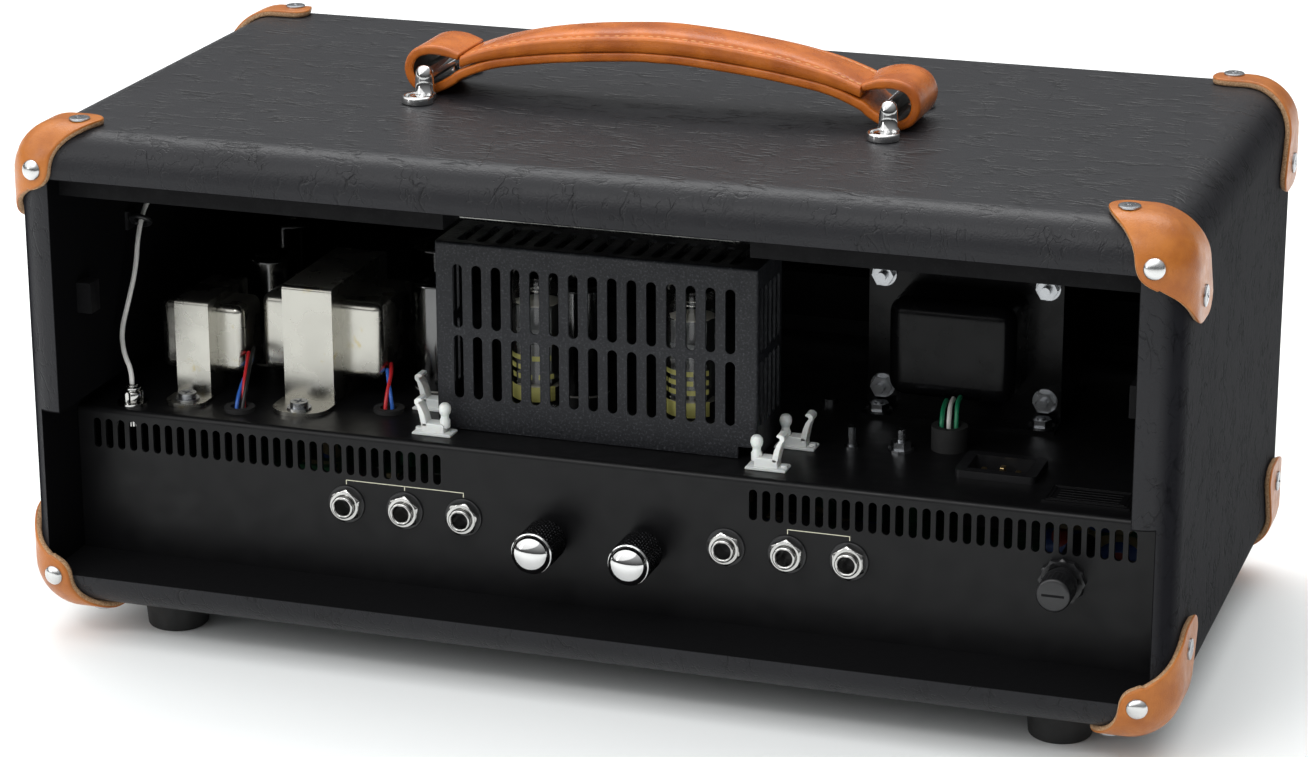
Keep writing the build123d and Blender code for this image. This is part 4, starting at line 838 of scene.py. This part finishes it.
def make_strap():
    half = half_strap_line()
    points = [(-x, z) for x, z in reversed(half)] + [(0, CROWN)] + half
    line = smooth_line(points, 260)
    bm = bmesh.new()

    def section(n):
        share = min(n, len(line) - 1 - n) / 10.0
        return band_section(STRAP_HALF - 0.25, 4.0 * (0.72 + 0.28 * min(1.0, share)), 1.25)

    sweep(bm, line, section, HANDLE_Y)
    strap = from_bmesh("handle_loop_strap", bm, STRAP, body="handle_strap", replaces=["handle_strap"],
                       slot="strap_leather")
    strap.data.materials.append(STRAP_LOOP_SHADE)
    # Faces inside each loop take the near-black leather: painted shade round the bar.
    for polygon in strap.data.polygons:
        x, y, z = polygon.center
        inner = math.hypot(abs(x) / MM - LOOP_MID[0], z / MM - LOOP_MID[1])
        if inner < 7.2 and abs(y / MM - HANDLE_Y) < STRAP_HALF - 1.2:
            polygon.material_index = 1


PAD_TOP = [(0, CROWN + 8.6), (20, CROWN + 7.6), (37, CROWN + 6.0), (54, CROWN + 3.6), (70, CROWN + 0.2),
           (79, CROWN - 2.6), (86, CROWN - 5.2)]
PAD_LOW = [(0, CROWN + 2.1), (20, CROWN + 1.4), (37, CROWN - 0.2), (54, CROWN - 2.3), (70, CROWN - 5.1),
           (79, CROWN - 7.3), (86, CROWN - 9.6)]


def mirrored_line(half, samples):
    return smooth_line([(-x, z) for x, z in reversed(half[1:])] + half, samples)


def pad_rise(x):
    """Height of the stuffed dome above the stitched edges."""
    reach = max(0.0, 1.0 - (abs(x) / 84.0) ** 3.2)
    return 2.1 * reach + 0.25


def pad_section(across_share, thickness, rise):
    """Lift above the pad's underside at a place across it: groove by the stitches, dome between them."""
    distance = (1 - abs(across_share)) * STRAP_HALF
    groove = -0.55 * math.exp(-((distance - 3.9) / 0.55) ** 2)
    dome = rise * max(0.0, 1 - ((STRAP_HALF - distance) / (STRAP_HALF - 4.0)) ** 4) if distance > 4.0 else 0.0
    edge = 0.0
    if distance < 1.6:
        edge = 1.6 - math.sqrt(max(0.0, 1.6 ** 2 - (1.6 - distance) ** 2))
    return thickness + dome + groove - edge


def make_pad():
    samples = 200
    top, low = mirrored_line(PAD_TOP, samples), mirrored_line(PAD_LOW, samples)
    bm = bmesh.new()
    across = [-1, -0.993, -0.975, -0.945, -0.905, -0.86, -0.81, -0.78, -0.76, -0.74, -0.715, -0.69, -0.65, -0.58,
              -0.45, -0.3, -0.15]
    across = across + [0.0] + [-a for a in reversed(across)]
    rings = []
    for (x, z_top), (_, z_low) in zip(top, low):
        thickness = z_top - z_low
        section = [(a * STRAP_HALF, pad_section(a, thickness, pad_rise(x))) for a in across]
        section += [(STRAP_HALF, thickness * k) for k in (0.45, 0.12)]
        section += [(a * (STRAP_HALF - 0.5), 0) for a in (1, 0.5, 0, -0.5, -1)]
        section += [(-STRAP_HALF, thickness * k) for k in (0.12, 0.45)]
        rings.append([bm.verts.new(Vector((x, HANDLE_Y + y, z_low + lift)) * MM) for y, lift in section])
    capped(bm, rings)
    pad = from_bmesh("handle_pad", bm, STRAP, body="handle_strap", replaces=["handle_strap"], slot="strap_leather")
    return top


def make_stitches(top):
    """Two rows of thread along the pad, dipping into the leather between stitches."""
    bm = bmesh.new()
    for side in (1, -1):
        travelled, last = 0.0, None
        for (x, z), (x2, z2) in zip(top, top[1:]):
            if abs(x) > 84.5:
                continue
            travelled += math.hypot(x2 - x, z2 - z)
            if last is not None and travelled - last < 3.4:
                continue
            last = travelled
            y = HANDLE_Y + side * (STRAP_HALF - 3.9)
            along = Vector((x2 - x, 0, z2 - z)).normalized()
            place = frame_at(Vector((x, y, z - 0.42)) * MM - along * 1.25 * MM, along)
            spin(bm, [(0, 0), (0.3, 0.12), (0.42, 0.5), (0.46, 1.25), (0.42, 2.0), (0.3, 2.38), (0, 2.5)], place, 8)
    from_bmesh("handle_stitches", bm, THREAD, body="handle_strap", slot="strap_leather")


make_strap()
make_stitches(make_pad())

BAR_X = 99.5             # cross bars of the brackets, out from the middle
POST_REACH = 20.5        # posts, along the bar from its middle


def make_brackets():
    """Bullet-topped posts, the cross bar and a thick round-ended pad with its screw, in polished chrome."""
    metal_parts, screws = bmesh.new(), bmesh.new()
    low, high = box_mm("handle_brackets")
    middle = (low.y + high.y) / 2
    for side in (1, -1):
        x = side * BAR_X
        place = frame_at(Vector((x, middle - POST_REACH, CAB_TOP + 10.0)) * MM, (0, 1, 0))
        spin(metal_parts, [(0, 0), (3.5, 0), (3.5, 2 * POST_REACH), (0, 2 * POST_REACH)], place, 32)
        for end in (1, -1):
            y = middle + end * POST_REACH
            post = Matrix.Translation(Vector((x, y, CAB_TOP)) * MM)
            spin(metal_parts, [(0, 0.1), (4.9, 0.1), (4.9, 1.5), (4.5, 3.2), (4.0, 3.9), (3.9, 8.5), (3.75, 10.4),
                               (3.3, 12.2), (2.5, 13.4), (1.4, 14.0), (0, 14.2)], post, 40)
            pad = Matrix.Translation(Vector((x, y + end * 8.0, CAB_TOP)) * MM)
            spin(metal_parts, [(0, 0.0), (6.5, 0.0), (6.7, 0.4), (6.7, 2.5), (6.5, 3.0), (6.0, 3.3), (5.4, 3.3),
                               (4.9, 2.9), (4.7, 2.0), (0, 2.0)], pad, 48)
            slab(metal_parts, [x - 5.0, min(y, y + end * 5), CAB_TOP + 0.1],
                 [x + 5.0, max(y, y + end * 5), CAB_TOP + 2.6])
            at = Vector((x, y + end * 8.5, CAB_TOP + 2.0)) * MM
            cross_recess_screw(screws, frame_at(at, (0, 0, 1)), 4.0, 1.3, random.uniform(0, 1.5))
    bevel(from_bmesh("handle_bracket_chrome", metal_parts, CHROME, replaces=["handle_brackets"],
                     slot="chrome_bracket"), 0.4, 3)
    bevel(from_bmesh("handle_bracket_screws", screws, CHROME, replaces=["handle_screws"], slot="chrome_bracket"),
          0.12)


make_brackets()


# ---- cage clips ----
def extrude_outline(bm, outline, place, depth):
    """A flat outline of (across, up) points pushed through depth, in millimetres."""
    near = [bm.verts.new(place @ (Vector((x, -depth / 2, z)) * MM)) for x, z in outline]
    far = [bm.verts.new(place @ (Vector((x, depth / 2, z)) * MM)) for x, z in outline]
    bm.faces.new(near)
    bm.faces.new(list(reversed(far)))
    for i in range(len(outline)):
        j = (i + 1) % len(outline)
        bm.faces.new((near[i], far[i], far[j], near[j]))


def make_clips():
    """Nylon clips: base, block, round-topped post and a springy arm with a hooked lip."""
    low, high = box_mm("cage_clips")
    bm = bmesh.new()
    cage_low, cage_high = box_mm("tube_cage")
    middle_x = (cage_low.x + cage_high.x) / 2
    for x, y in ((75.0, 79.5), (-66.5, 78.5), (-70.1, 50.0), (86.6, 50.0)):
        out = 1 if x > middle_x else -1
        place = Matrix.Translation(Vector((x, y, low.z)) * MM)
        if out < 0:
            place = place @ Matrix.Rotation(math.pi, 4, "Z")
        slab_at = [(-8.0, 0.0), (9.0, 0.0), (9.0, 0.9), (8.2, 1.3), (-7.2, 1.3), (-8.0, 0.9)]
        extrude_outline(bm, slab_at, place, 8.6)
        extrude_outline(bm, [(-4.6, 1.0), (5.2, 1.0), (5.2, 4.4), (4.2, 5.0), (-3.4, 5.0), (-4.6, 4.4)], place, 6.0)
        extrude_outline(bm, [(2.6, 3.5), (5.2, 3.5), (6.3, 9.0), (7.2, 12.0), (8.1, 13.0), (8.1, 14.6), (6.7, 15.6),
                             (5.0, 15.4), (4.6, 14.4), (6.0, 13.9), (6.2, 13.2), (5.0, 11.6), (3.8, 8.6)], place, 6.0)
        spin(bm, [(0, 3.0), (2.2, 3.0), (2.2, 6.2), (1.7, 7.2), (1.7, 8.4), (2.3, 9.4), (2.6, 10.8), (2.4, 12.2),
                  (1.6, 13.3), (0, 13.8)], place @ Matrix.Translation((-0.0042, 0, 0)), 28)
        spin(bm, [(0, 0.4), (1.6, 0.4), (1.6, 2.2), (0, 2.2)], place @ Matrix.Translation((0.0072, 0, 0)), 20)
    bevel(from_bmesh("moulded_cage_clips", bm, NYLON, replaces=["cage_clips"], slot="nylon"), 0.35, 3, 28)


make_clips()


# ---- turned and threaded parts ----
def clusters(node, gap=6.0, axis=0):
    """Boxes of a node's separate pieces, split where there is a gap along one axis, in millimetres."""
    places = sorted((v.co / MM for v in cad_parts[node].data.vertices), key=lambda p: p[axis])
    groups = [[places[0]]]
    for before, after in zip(places, places[1:]):
        if after[axis] - before[axis] > gap:
            groups.append([])
        groups[-1].append(after)
    return [(Vector(min(p[k] for p in g) for k in range(3)), Vector(max(p[k] for p in g) for k in range(3)))
            for g in groups]


def crisp(piece, angle=32):
    """Splits hard edges so that flats stay flat."""
    step = piece.modifiers.new("hard_edges", "EDGE_SPLIT")
    step.split_angle = math.radians(angle)
    return piece


NUT_FLATS = 12.7         # standard nut of a quarter inch jack
FUSE_FLATS = 16.4        # hexagonal flange of the fuse holder


def hexagon(flats):
    """Shape of a hexagonal nut: how far out each direction reaches, for a profile given at the corners."""
    corner = flats / 2 / math.cos(math.pi / 6)

    def reach(angle, height):
        turned = (angle + math.pi / 6) % (math.pi / 3) - math.pi / 6
        return flats / 2 / math.cos(turned) / corner
    return reach


def make_jacks():
    nuts, bushes, washers, bodies, tips = (bmesh.new() for _ in range(5))
    for low, high in clusters("jack_nuts"):
        x, z = (low.x + high.x) / 2, (low.z + high.z) / 2
        rear = high.y > 0
        way = 1 if rear else -1
        panel = (REAR_Y if rear else PANEL_Y)
        place = frame_at(Vector((x * MM, panel, z * MM)), (0, way, 0))
        spin(washers, [(4.9, 0.02), (7.9, 0.02), (8.0, 0.2), (8.0, 0.6), (7.8, 0.8), (4.9, 0.8)], place, 48)
        turn = random.uniform(0, 1.0)
        corner = NUT_FLATS / 2 / math.cos(math.pi / 6)
        reach = hexagon(NUT_FLATS)

        def nut_shape(angle, height, turn=turn):
            full = reach(angle + turn, height)
            limit = 1.0 - max(0.0, height - 2.9) / 0.7 * 0.16
            return min(full, limit)

        ring_at = [2.9, 3.1, 3.3, 3.5, 3.6]
        spin(nuts, [(4.8, 0.8), (corner, 0.85)] + [(corner, h) for h in ring_at], place, 96, nut_shape)
        spin(nuts, [(corner * 0.84 * 0.98, 3.6), (5.0, 3.62), (4.8, 3.4)], place, 96)
        spin(bushes, [(4.7, -3.0), (4.7, 3.9), (4.9, 4.4), (4.85, 5.1), (4.5, 5.6), (4.05, 5.75), (3.65, 5.55),
                      (3.4, 5.1), (3.3, 4.6), (3.3, 2.0), (3.3, -4.0)], place, 48,
             lambda a, h: 1.0 - (0.06 if h > 5.2 and abs(math.sin(a)) > 0.985 else 0.0))
        spin(tips, [(0, -3.6), (3.3, -3.6)], place, 32)
        depth = 20.0
        slab(bodies, [x - 8.5, (panel / MM - way * 3) - (depth if way > 0 else 0), z - 8.5],
             [x + 8.5, (panel / MM - way * 3) + (0 if way > 0 else depth), z + 8.5])
    crisp(from_bmesh("jack_hex_nuts", nuts, NUT_CHROME, replaces=["jack_nuts"], slot="bright_nut"), 28)
    from_bmesh("jack_bushes", bushes, NUT_CHROME, replaces=["jacks"], slot="bright_nut")
    from_bmesh("jack_bores", tips, BLACK_PLASTIC, replaces=["jacks"], slot="jack_plastic")
    bevel(from_bmesh("jack_bodies", bodies, BLACK_PLASTIC, replaces=["jacks"], slot="jack_plastic"), 0.6)
    crisp(from_bmesh("jack_dished_washers", washers, BLACK_PLASTIC, replaces=["jack_washers"], slot="jack_plastic"))


make_jacks()


def knurl(count, radius, depth, start, end):
    """Diamond knurling between two heights."""
    pitch = math.tau * radius / count

    def shape(angle, height):
        if not start < height < end:
            return 1.0
        lines = []
        for lean in (1, -1):
            phase = (angle * count / math.tau + lean * height / pitch) % 1.0
            lines.append(abs(phase - 0.5) * 2)
        return 1.0 - depth / radius * (1.0 - min(1.0, 1.7 * min(1 - lines[0], 1 - lines[1])))
    return shape


def make_rear_knobs():
    for n in (1, 2):
        node = f"rear_knob_{n}"
        low, high = box_mm(node)
        x, z = (low.x + high.x) / 2, (low.z + high.z) / 2
        place = frame_at(Vector((x, low.y, z)) * MM, (0, 1, 0))
        grip = bmesh.new()
        tip = high.y - low.y
        neck = tip - 6.5
        rows = int((neck - 1.3) / 0.36)
        barrel = [(3.2, 0.0), (8.0, 0.0), (8.5, 0.3), (8.85, 0.8)]
        barrel += [(8.9, 1.0 + 0.36 * k) for k in range(rows + 1)]
        barrel += [(8.7, neck), (8.45, neck + 0.3), (0, neck + 0.3)]
        spin(grip, barrel, place, 156, knurl(24, 8.9, 0.8, 0.9, neck - 0.2))
        from_bmesh(f"{node}_knurled_grip", grip, KNURL, body=node, replaces=[node], slot="knob_black")
        cap = bmesh.new()
        foot = neck + 1.15
        dome = [(8.15 * math.cos(math.radians(t)), foot + (tip - foot) * math.sin(math.radians(t)))
                for t in range(0, 90, 6)]
        spin(cap, [(8.3, neck), (8.62, neck + 0.15), (8.75, neck + 0.5), (8.7, neck + 0.85), (8.45, foot)] + dome
             + [(0, tip)], place, 64)
        from_bmesh(f"{node}_chrome_cap", cap, CHROME, body=node, replaces=[node], slot="bright_nut")


make_rear_knobs()


def make_front_knobs():
    for n in range(1, 6):
        node = f"front_knob_{n}"
        low, high = box_mm(node)
        x, z = (low.x + high.x) / 2, (low.z + high.z) / 2
        depth = high.y - low.y
        place = frame_at(Vector((x, high.y, z)) * MM, (0, -1, 0))

        def flutes(angle, height):
            return 1.0 - (0.045 * (0.5 + 0.5 * math.cos(20 * angle)) ** 2 if height > 1.3 else 0.0)

        bm = bmesh.new()
        spin(bm, [(3.2, 0), (9.2, 0), (9.4, 0.25), (9.3, 0.8), (8.0, 1.3), (7.7, 1.6), (7.6, 2.2), (7.45, 6.0),
                  (7.35, depth - 0.9), (7.15, depth - 0.4), (6.7, depth - 0.1), (6.0, depth), (5.4, depth - 0.25),
                  (0, depth - 0.3)], place, 160, flutes)
        from_bmesh(f"{node}_fluted", bm, KNOB, body=node, replaces=[node], slot="knob_black")
        pointer = bmesh.new()
        slab(pointer, [x - 0.45, low.y - 0.02, z + 2.2], [x + 0.45, low.y + 0.5, z + 6.6])
        slab(pointer, [x - 0.4, low.y + 0.9, z + 6.9], [x + 0.4, high.y - 1.6, z + 7.62])
        bevel(from_bmesh(f"{node}_pointer", pointer, PRINT, body=node, slot="knob_black"), 0.08)


make_front_knobs()


def make_fuse_cap():
    """Fluted bayonet cap; its screwdriver slot is a flat dark mark, painted shade in place of a cut."""
    low, high = box_mm("fuse_cap")
    x, z = (low.x + high.x) / 2, (low.z + high.z) / 2
    face = REAR_Y / MM
    place = frame_at(Vector((x, face, z)) * MM, (0, 1, 0))
    top = high.y - face
    bm = bmesh.new()
    spin(bm, [(4.2, -2.0), (4.2, 5.4), (6.6, 5.4), (6.9, 5.7), (7.0, 6.2), (7.0, 8.8), (6.75, 9.1), (6.75, 9.5),
              (7.0, 9.8), (7.0, top - 1.6), (6.9, top - 1.0), (6.6, top - 0.45), (6.1, top - 0.12), (5.5, top),
              (0, top)], place, 144,
         lambda a, h: 1.0 - (0.035 * (0.5 + 0.5 * math.cos(24 * a)) if 9.7 < h < top - 1.3 else 0.0))
    from_bmesh("fuse_cap_fluted", bm, BLACK_PLASTIC, body="fuse_cap", replaces=["fuse_cap"], slot="black_plastic")
    flange = bmesh.new()
    corner = FUSE_FLATS / 2 / math.cos(math.pi / 6)
    reach = hexagon(FUSE_FLATS)
    spin(flange, [(corner, 0.0), (corner, 2.1)], place, 96, reach)
    spin(flange, [(corner, 2.1), (corner * 0.9, 2.6), (6.3, 2.6), (6.2, 5.0), (4.5, 5.1)], place, 96,
         lambda a, h: reach(a, h) if h < 2.2 else min(1.0, reach(a, h) + 0.1) if h < 2.65 else 1.0)
    crisp(from_bmesh("fuse_holder_flange", flange, BLACK_PLASTIC, slot="black_plastic"), 28)
    # Painted shade: the slot is a thin near-black slab just proud of the cap top, not a recess.
    slot = bmesh.new()
    slab(slot, [x - 4.6, high.y - 0.5, z - 0.65], [x + 4.6, high.y + 0.03, z + 0.65])
    bevel(from_bmesh("fuse_cap_slot_painted_shade", slot, RAIL, body="fuse_cap", slot="black_plastic"), 0.2)


make_fuse_cap()


# ---- transformer leads ----
BUSHING = (-130.0, 33.0)
LEAD_ROUTES = [
    ("red", [(169.1, 55, 112), (166.5, 62, 110.5), (164.6, 71, 103.5), (163, 75, 95), (163, 75.2, 88)]),
    ("blue", [(169.1, 52, 108.4), (167.6, 60, 106), (166, 72, 101), (165.4, 77.8, 94.5), (165.4, 78, 88)]),
    ("black", [(169.1, 49, 112.5), (166, 58, 114), (162.5, 72, 104.5), (162.2, 79, 95), (162.2, 79.2, 88)]),
    ("blue", [(109.7, 46, 107.6), (107.4, 51, 105.6), (104, 57, 100.5), (102.6, 58.4, 94.4), (102.6, 58.5, 88)]),
    ("red", [(109.7, 42, 109), (106.6, 48.5, 107.6), (105.6, 56.5, 102), (105.4, 60.4, 94.6), (105.4, 60.5, 88)]),
]
for n, (tone, dx) in enumerate(zip(("green", "white", "green"), (-2.7, 0.2, 3.0))):
    x, y = BUSHING[0] + dx, BUSHING[1]
    LEAD_ROUTES.append((tone, [(x + 1.6, y - 12.9, 112 - n), (x + 1, y - 5, 112.6 - n), (x + 0.2, y - 1 + n, 105),
                               (x, y + 0.6, 98), (x, y + 0.5, 88)]))
for n, (tone, route) in enumerate(LEAD_ROUTES):
    radius = 0.95 if n > 4 else 0.85
    wire(f"transformer_lead_{n + 1}_{tone}", [[c * MM for c in p] for p in route], radius * MM, WIRES[tone],
         replaces=["transformer_leads"], slot="wire_insulation")


# ---- tubes ----
def make_tube(name, node, low, high, radius):
    """Glass envelope with its pip, and inside it plates, mica discs, rods and the silvered getter patch."""
    x, y = (low.x + high.x) / 2, (low.y + high.y) / 2
    place = Matrix.Translation(Vector((x, y, low.z)) * MM)
    tall = high.z - low.z
    bulb = bmesh.new()
    dome = [(radius * math.cos(math.radians(t)), tall - 2.6 - radius * 0.62 * (1 - math.sin(math.radians(t))))
            for t in range(0, 85, 8)]
    spin(bulb, [(0, 0.0), (radius * 0.8, 0.0), (radius * 0.96, 0.8), (radius, 2.2)] + dome
         + [(1.5, tall - 2.3), (1.05, tall - 1.6), (0.7, tall - 0.5), (0, tall)], place, 40)
    from_bmesh(f"{name}_glass", bulb, GLASS, replaces=[node], slot="tube_glass")
    metalwork, mica, bright = bmesh.new(), bmesh.new(), bmesh.new()
    plate_low, plate_high = tall * 0.22, tall * 0.70
    wide, deep = radius * 0.66, radius * 0.44
    for side in (1, -1):
        slab(metalwork, [x - wide, y + side * deep - 0.25, low.z + plate_low],
             [x + wide, y + side * deep + 0.25, low.z + plate_high])
        slab(metalwork, [x + side * wide - 0.25, y - deep, low.z + plate_low],
             [x + side * wide + 0.25, y + deep, low.z + plate_high])
        for fin in (0.3, 0.5, 0.7):
            level = low.z + plate_low + (plate_high - plate_low) * fin
            slab(metalwork, [x - wide * 1.05, y + side * deep * 0.9 - 0.3, level - 0.5],
                 [x + wide * 1.05, y + side * deep * 0.9 + 0.9 * side + 0.3, level + 0.5])
        spin(bright, [(0, plate_low - 6), (0.4, plate_low - 6), (0.4, plate_high + 5), (0, plate_high + 5)],
             Matrix.Translation(Vector((x + side * wide * 0.55, y, low.z)) * MM), 8)
        spin(bright, [(0, 1.0), (0.35, 1.0), (0.35, plate_low), (0, plate_low)],
             Matrix.Translation(Vector((x + side * wide * 0.4, y + side * 2, low.z)) * MM), 8)
    for level in (plate_low - 1.2, plate_high + 0.8):
        spin(mica, [(0, level), (radius * 0.86, level), (radius * 0.86, level + 0.4), (0, level + 0.4)], place, 32,
             lambda a, h: 1.0 - 0.09 * abs(math.sin(6 * a)))
    spin(bright, [(2.8, plate_high + 5.6), (3.4, plate_high + 5.6), (3.4, plate_high + 6.2), (2.8, plate_high + 6.2),
                  (2.8, plate_high + 5.6)], place, 24)
    crisp(from_bmesh(f"{name}_plates", metalwork, PLATE_GREY, slot="tube_glass"))
    from_bmesh(f"{name}_mica", mica, MICA, slot="tube_glass")
    from_bmesh(f"{name}_rods", bright, SHIELD_BRIGHT, slot="tube_glass")
    getter = bmesh.new()
    spin(getter, [(r * 0.985, h - 0.12) for r, h in dome[2:]] + [(0.6, tall - 2.7)], place, 40)
    from_bmesh(f"{name}_getter", getter, GETTER, slot="tube_glass")


def make_tubes():
    """The two power tubes, with plain bars in place of print."""
    for n, (low, high) in enumerate(clusters("power_tubes")):
        make_tube(f"power_tube_{n + 1}", "power_tubes", low, high, (high.x - low.x) / 2)
        x, y = (low.x + high.x) / 2, (low.y + high.y) / 2
        marks = bmesh.new()
        for row, level in enumerate((10.5, 12.6, 14.7, 20.0, 24.0, 28.0)):
            for k in range(16):
                angle = math.radians(36 + k * 7.0)
                if row > 2 and random.random() < 0.3:
                    continue
                out = Vector((math.cos(angle), math.sin(angle), 0))
                at = (Vector((x, y, low.z + level)) + out * ((high.x - low.x) / 2 + 0.06)) * MM
                bar = Matrix.Diagonal((0.0013 if row > 2 else 0.00215, 0.0021, 0.00008, 1))
                bmesh.ops.create_cube(marks, size=1.0, matrix=frame_at(at, out) @ bar)
        from_bmesh(f"power_tube_{n + 1}_print", marks, BAND_PRINT, smooth=False, slot="tube_glass")


make_tubes()


def make_small_tubes():
    """One small tube for each group of the node's points that stands apart."""
    places = {}
    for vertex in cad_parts["preamp_tubes"].data.vertices:
        p = vertex.co / MM
        for known in places.values():
            if math.hypot(known[0].x - p.x, known[0].y - p.y) < 22.5:
                known.append(p)
                break
        else:
            places[len(places)] = [p]
    for n, group in enumerate(places.values()):
        low = Vector(min(p[k] for p in group) for k in range(3))
        high = Vector(max(p[k] for p in group) for k in range(3))
        radius = min(high.x - low.x, high.y - low.y) / 2
        make_tube(f"preamp_tube_{n + 1}", "preamp_tubes", low, high, radius)


make_small_tubes()


# ---- grille cloth ----
def make_grille():
    low, high = box_mm("grille_cloth")
    across, up = 148, 34
    bm = bmesh.new()
    rows = []
    for j in range(up + 1):
        row = []
        for i in range(across + 1):
            u, v = i / across, j / up
            dip = 0.35 * math.sin(math.pi * u) * math.sin(math.pi * v)
            pull = 0.12 * math.sin(u * 57) * (2 * v - 1) ** 6
            row.append(bm.verts.new(Vector((low.x + (high.x - low.x) * u, high.y - 0.85 - dip + pull,
                                            low.z + (high.z - low.z) * v)) * MM))
        rows.append(row)
    bridge(bm, rows, closed=False)
    grille = from_bmesh("stretched_grille_cloth", bm, CLOTH, replaces=["grille_cloth"], slot="grille_cloth")
    thick = grille.modifiers.new("cloth_thickness", "SOLIDIFY")
    thick.thickness = 0.8 * MM
    thick.offset = -1


make_grille()


# ---- printed marks and pins ----
def text_faces(bm, text, size, place):
    """Adds a dial numeral as flat faces."""
    curve = bpy.data.curves.new("numeral", "FONT")
    curve.body = text
    curve.size = size * MM
    curve.align_x = "CENTER"
    curve.align_y = "CENTER"
    holder = bpy.data.objects.new("numeral", curve)
    mesh = holder.to_mesh()
    verts = [bm.verts.new(place @ v.co) for v in mesh.vertices]
    for polygon in mesh.polygons:
        bm.faces.new([verts[i] for i in polygon.vertices])
    holder.to_mesh_clear()
    bpy.data.objects.remove(holder)
    bpy.data.curves.remove(curve)


def make_front_print():
    """Dial marks and numerals round the front knobs."""
    bm = bmesh.new()
    front = Matrix(((1, 0, 0, 0), (0, 0, -1, PANEL_Y - 0.00006), (0, 1, 0, 0), (0, 0, 0, 1)))
    for n in range(1, 6):
        low, high = box_mm(f"front_knob_{n}")
        x, z = (low.x + high.x) / 2, (low.z + high.z) / 2
        for mark in range(11):
            angle = math.radians(240 - 30 * mark)
            c, d = math.cos(angle), math.sin(angle)
            tick = front @ Matrix.Translation((x * MM + c * 0.0113, z * MM + d * 0.0113, 0)) @ Matrix.Rotation(
                angle, 4, "Z") @ Matrix.Diagonal((0.0018, 0.0004, 0.00005, 1))
            bmesh.ops.create_cube(bm, size=1.0, matrix=tick)
            place = front @ Matrix.Translation((x * MM + c * 0.0148, z * MM + d * 0.0148, 0))
            text_faces(bm, str(mark), 3.4, place)
    from_bmesh("dial_numerals", bm, PRINT, smooth=False, slot="control_panel")


def make_rear_print():
    """Plain bracket lines over the groups of jacks."""
    bm = bmesh.new()
    y = REAR_Y / MM
    low_z, high_z = 72.2, 74.2
    for x0, x1 in ((58.4, 110.0), (-105.0, -79.4)):
        slab(bm, [x0, y - 0.02, high_z - 0.25], [x1, y + 0.06, high_z + 0.05])
        for x in (x0, x1) if x0 < 0 else (x0, (x0 + x1) / 2, x1):
            slab(bm, [x - 0.15, y - 0.02, low_z], [x + 0.15, y + 0.06, high_z])
    from_bmesh("rear_bracket_lines", bm, PRINT, smooth=False, slot="black_steel")


def make_inlet_pins():
    low, high = box_mm("power_inlet")
    x, y = (low.x + high.x) / 2, (low.y + high.y) / 2
    bm = bmesh.new()
    for dx, dy in ((-7.0, 1.5), (0.0, -2.5), (7.0, 1.5)):
        slab(bm, [x + dx - 1.0, y + dy - 2.0, high.z - 16.0], [x + dx + 1.0, y + dy + 2.0, high.z - 2.0])
    bevel(from_bmesh("inlet_pins", bm, BRASS, slot="bright_nut"), 0.4)


def make_plate_relief():
    """Raised border and four raised bars on the blank plate."""
    low, high = box_mm("blank_plate")
    bm = bmesh.new()
    top = high.z
    for inset in (1.2, 2.6):
        x0, x1, y0, y1 = low.x + inset, high.x - inset, low.y + inset, high.y - inset
        for a, b in (((x0, y0), (x1, y0 + 0.4)), ((x0, y1 - 0.4), (x1, y1)), ((x0, y0), (x0 + 0.4, y1)),
                     ((x1 - 0.4, y0), (x1, y1))):
            slab(bm, [*a, top - 0.1], [*b, top + 0.25])
    for row in range(4):
        slab(bm, [low.x + 5, low.y + 5.2 + row * 2.8, top - 0.1], [high.x - 5, low.y + 5.8 + row * 2.8, top + 0.2])
    bevel(from_bmesh("blank_plate_relief", bm, BLACK_STEEL, slot="black_steel"), 0.1)


make_front_print()
make_rear_print()
make_plate_relief()
make_inlet_pins()

# ---- CAD nodes that keep their shape ----
dress(VINYL, "cabinet_shell")
dress(RAIL, "front_baffle", "rear_rails")
dress(BLACK_STEEL, "chassis", "chassis_bottom_cover", "blank_plate")
dress(PANEL, "control_panel")
dress(GREEN_BOARD, "circuit_board")
dress(PARTS, "board_components")
dress(ZINC, "board_spacers", "bottom_screws", "chassis_top_hardware")
dress(NICKEL, "small_transformer_frame", "small_transformer_coil", "output_transformer_frame",
      "output_transformer_coil")
dress(BELL, "power_transformer_bells")
dress(CORE, "power_transformer_core")
dress(CAGE, "tube_cage")
dress(CERAMIC, "tube_sockets")
dress(BLACK_PLASTIC, "power_inlet", "fuse_holder", "lead_ring")
dress(RUBBER, "grommets", "rubber_feet")
dress(TRAY, "reverb_tank")
dress(NUT_CHROME, "phono_socket", "power_toggle", "standby_toggle", "mini_toggle_1", "mini_toggle_2")
dress(POT, "potentiometers", "switch_bodies")
dress(LAMP, "pilot_lamp")
dress(SHIELD, "tube_shields")
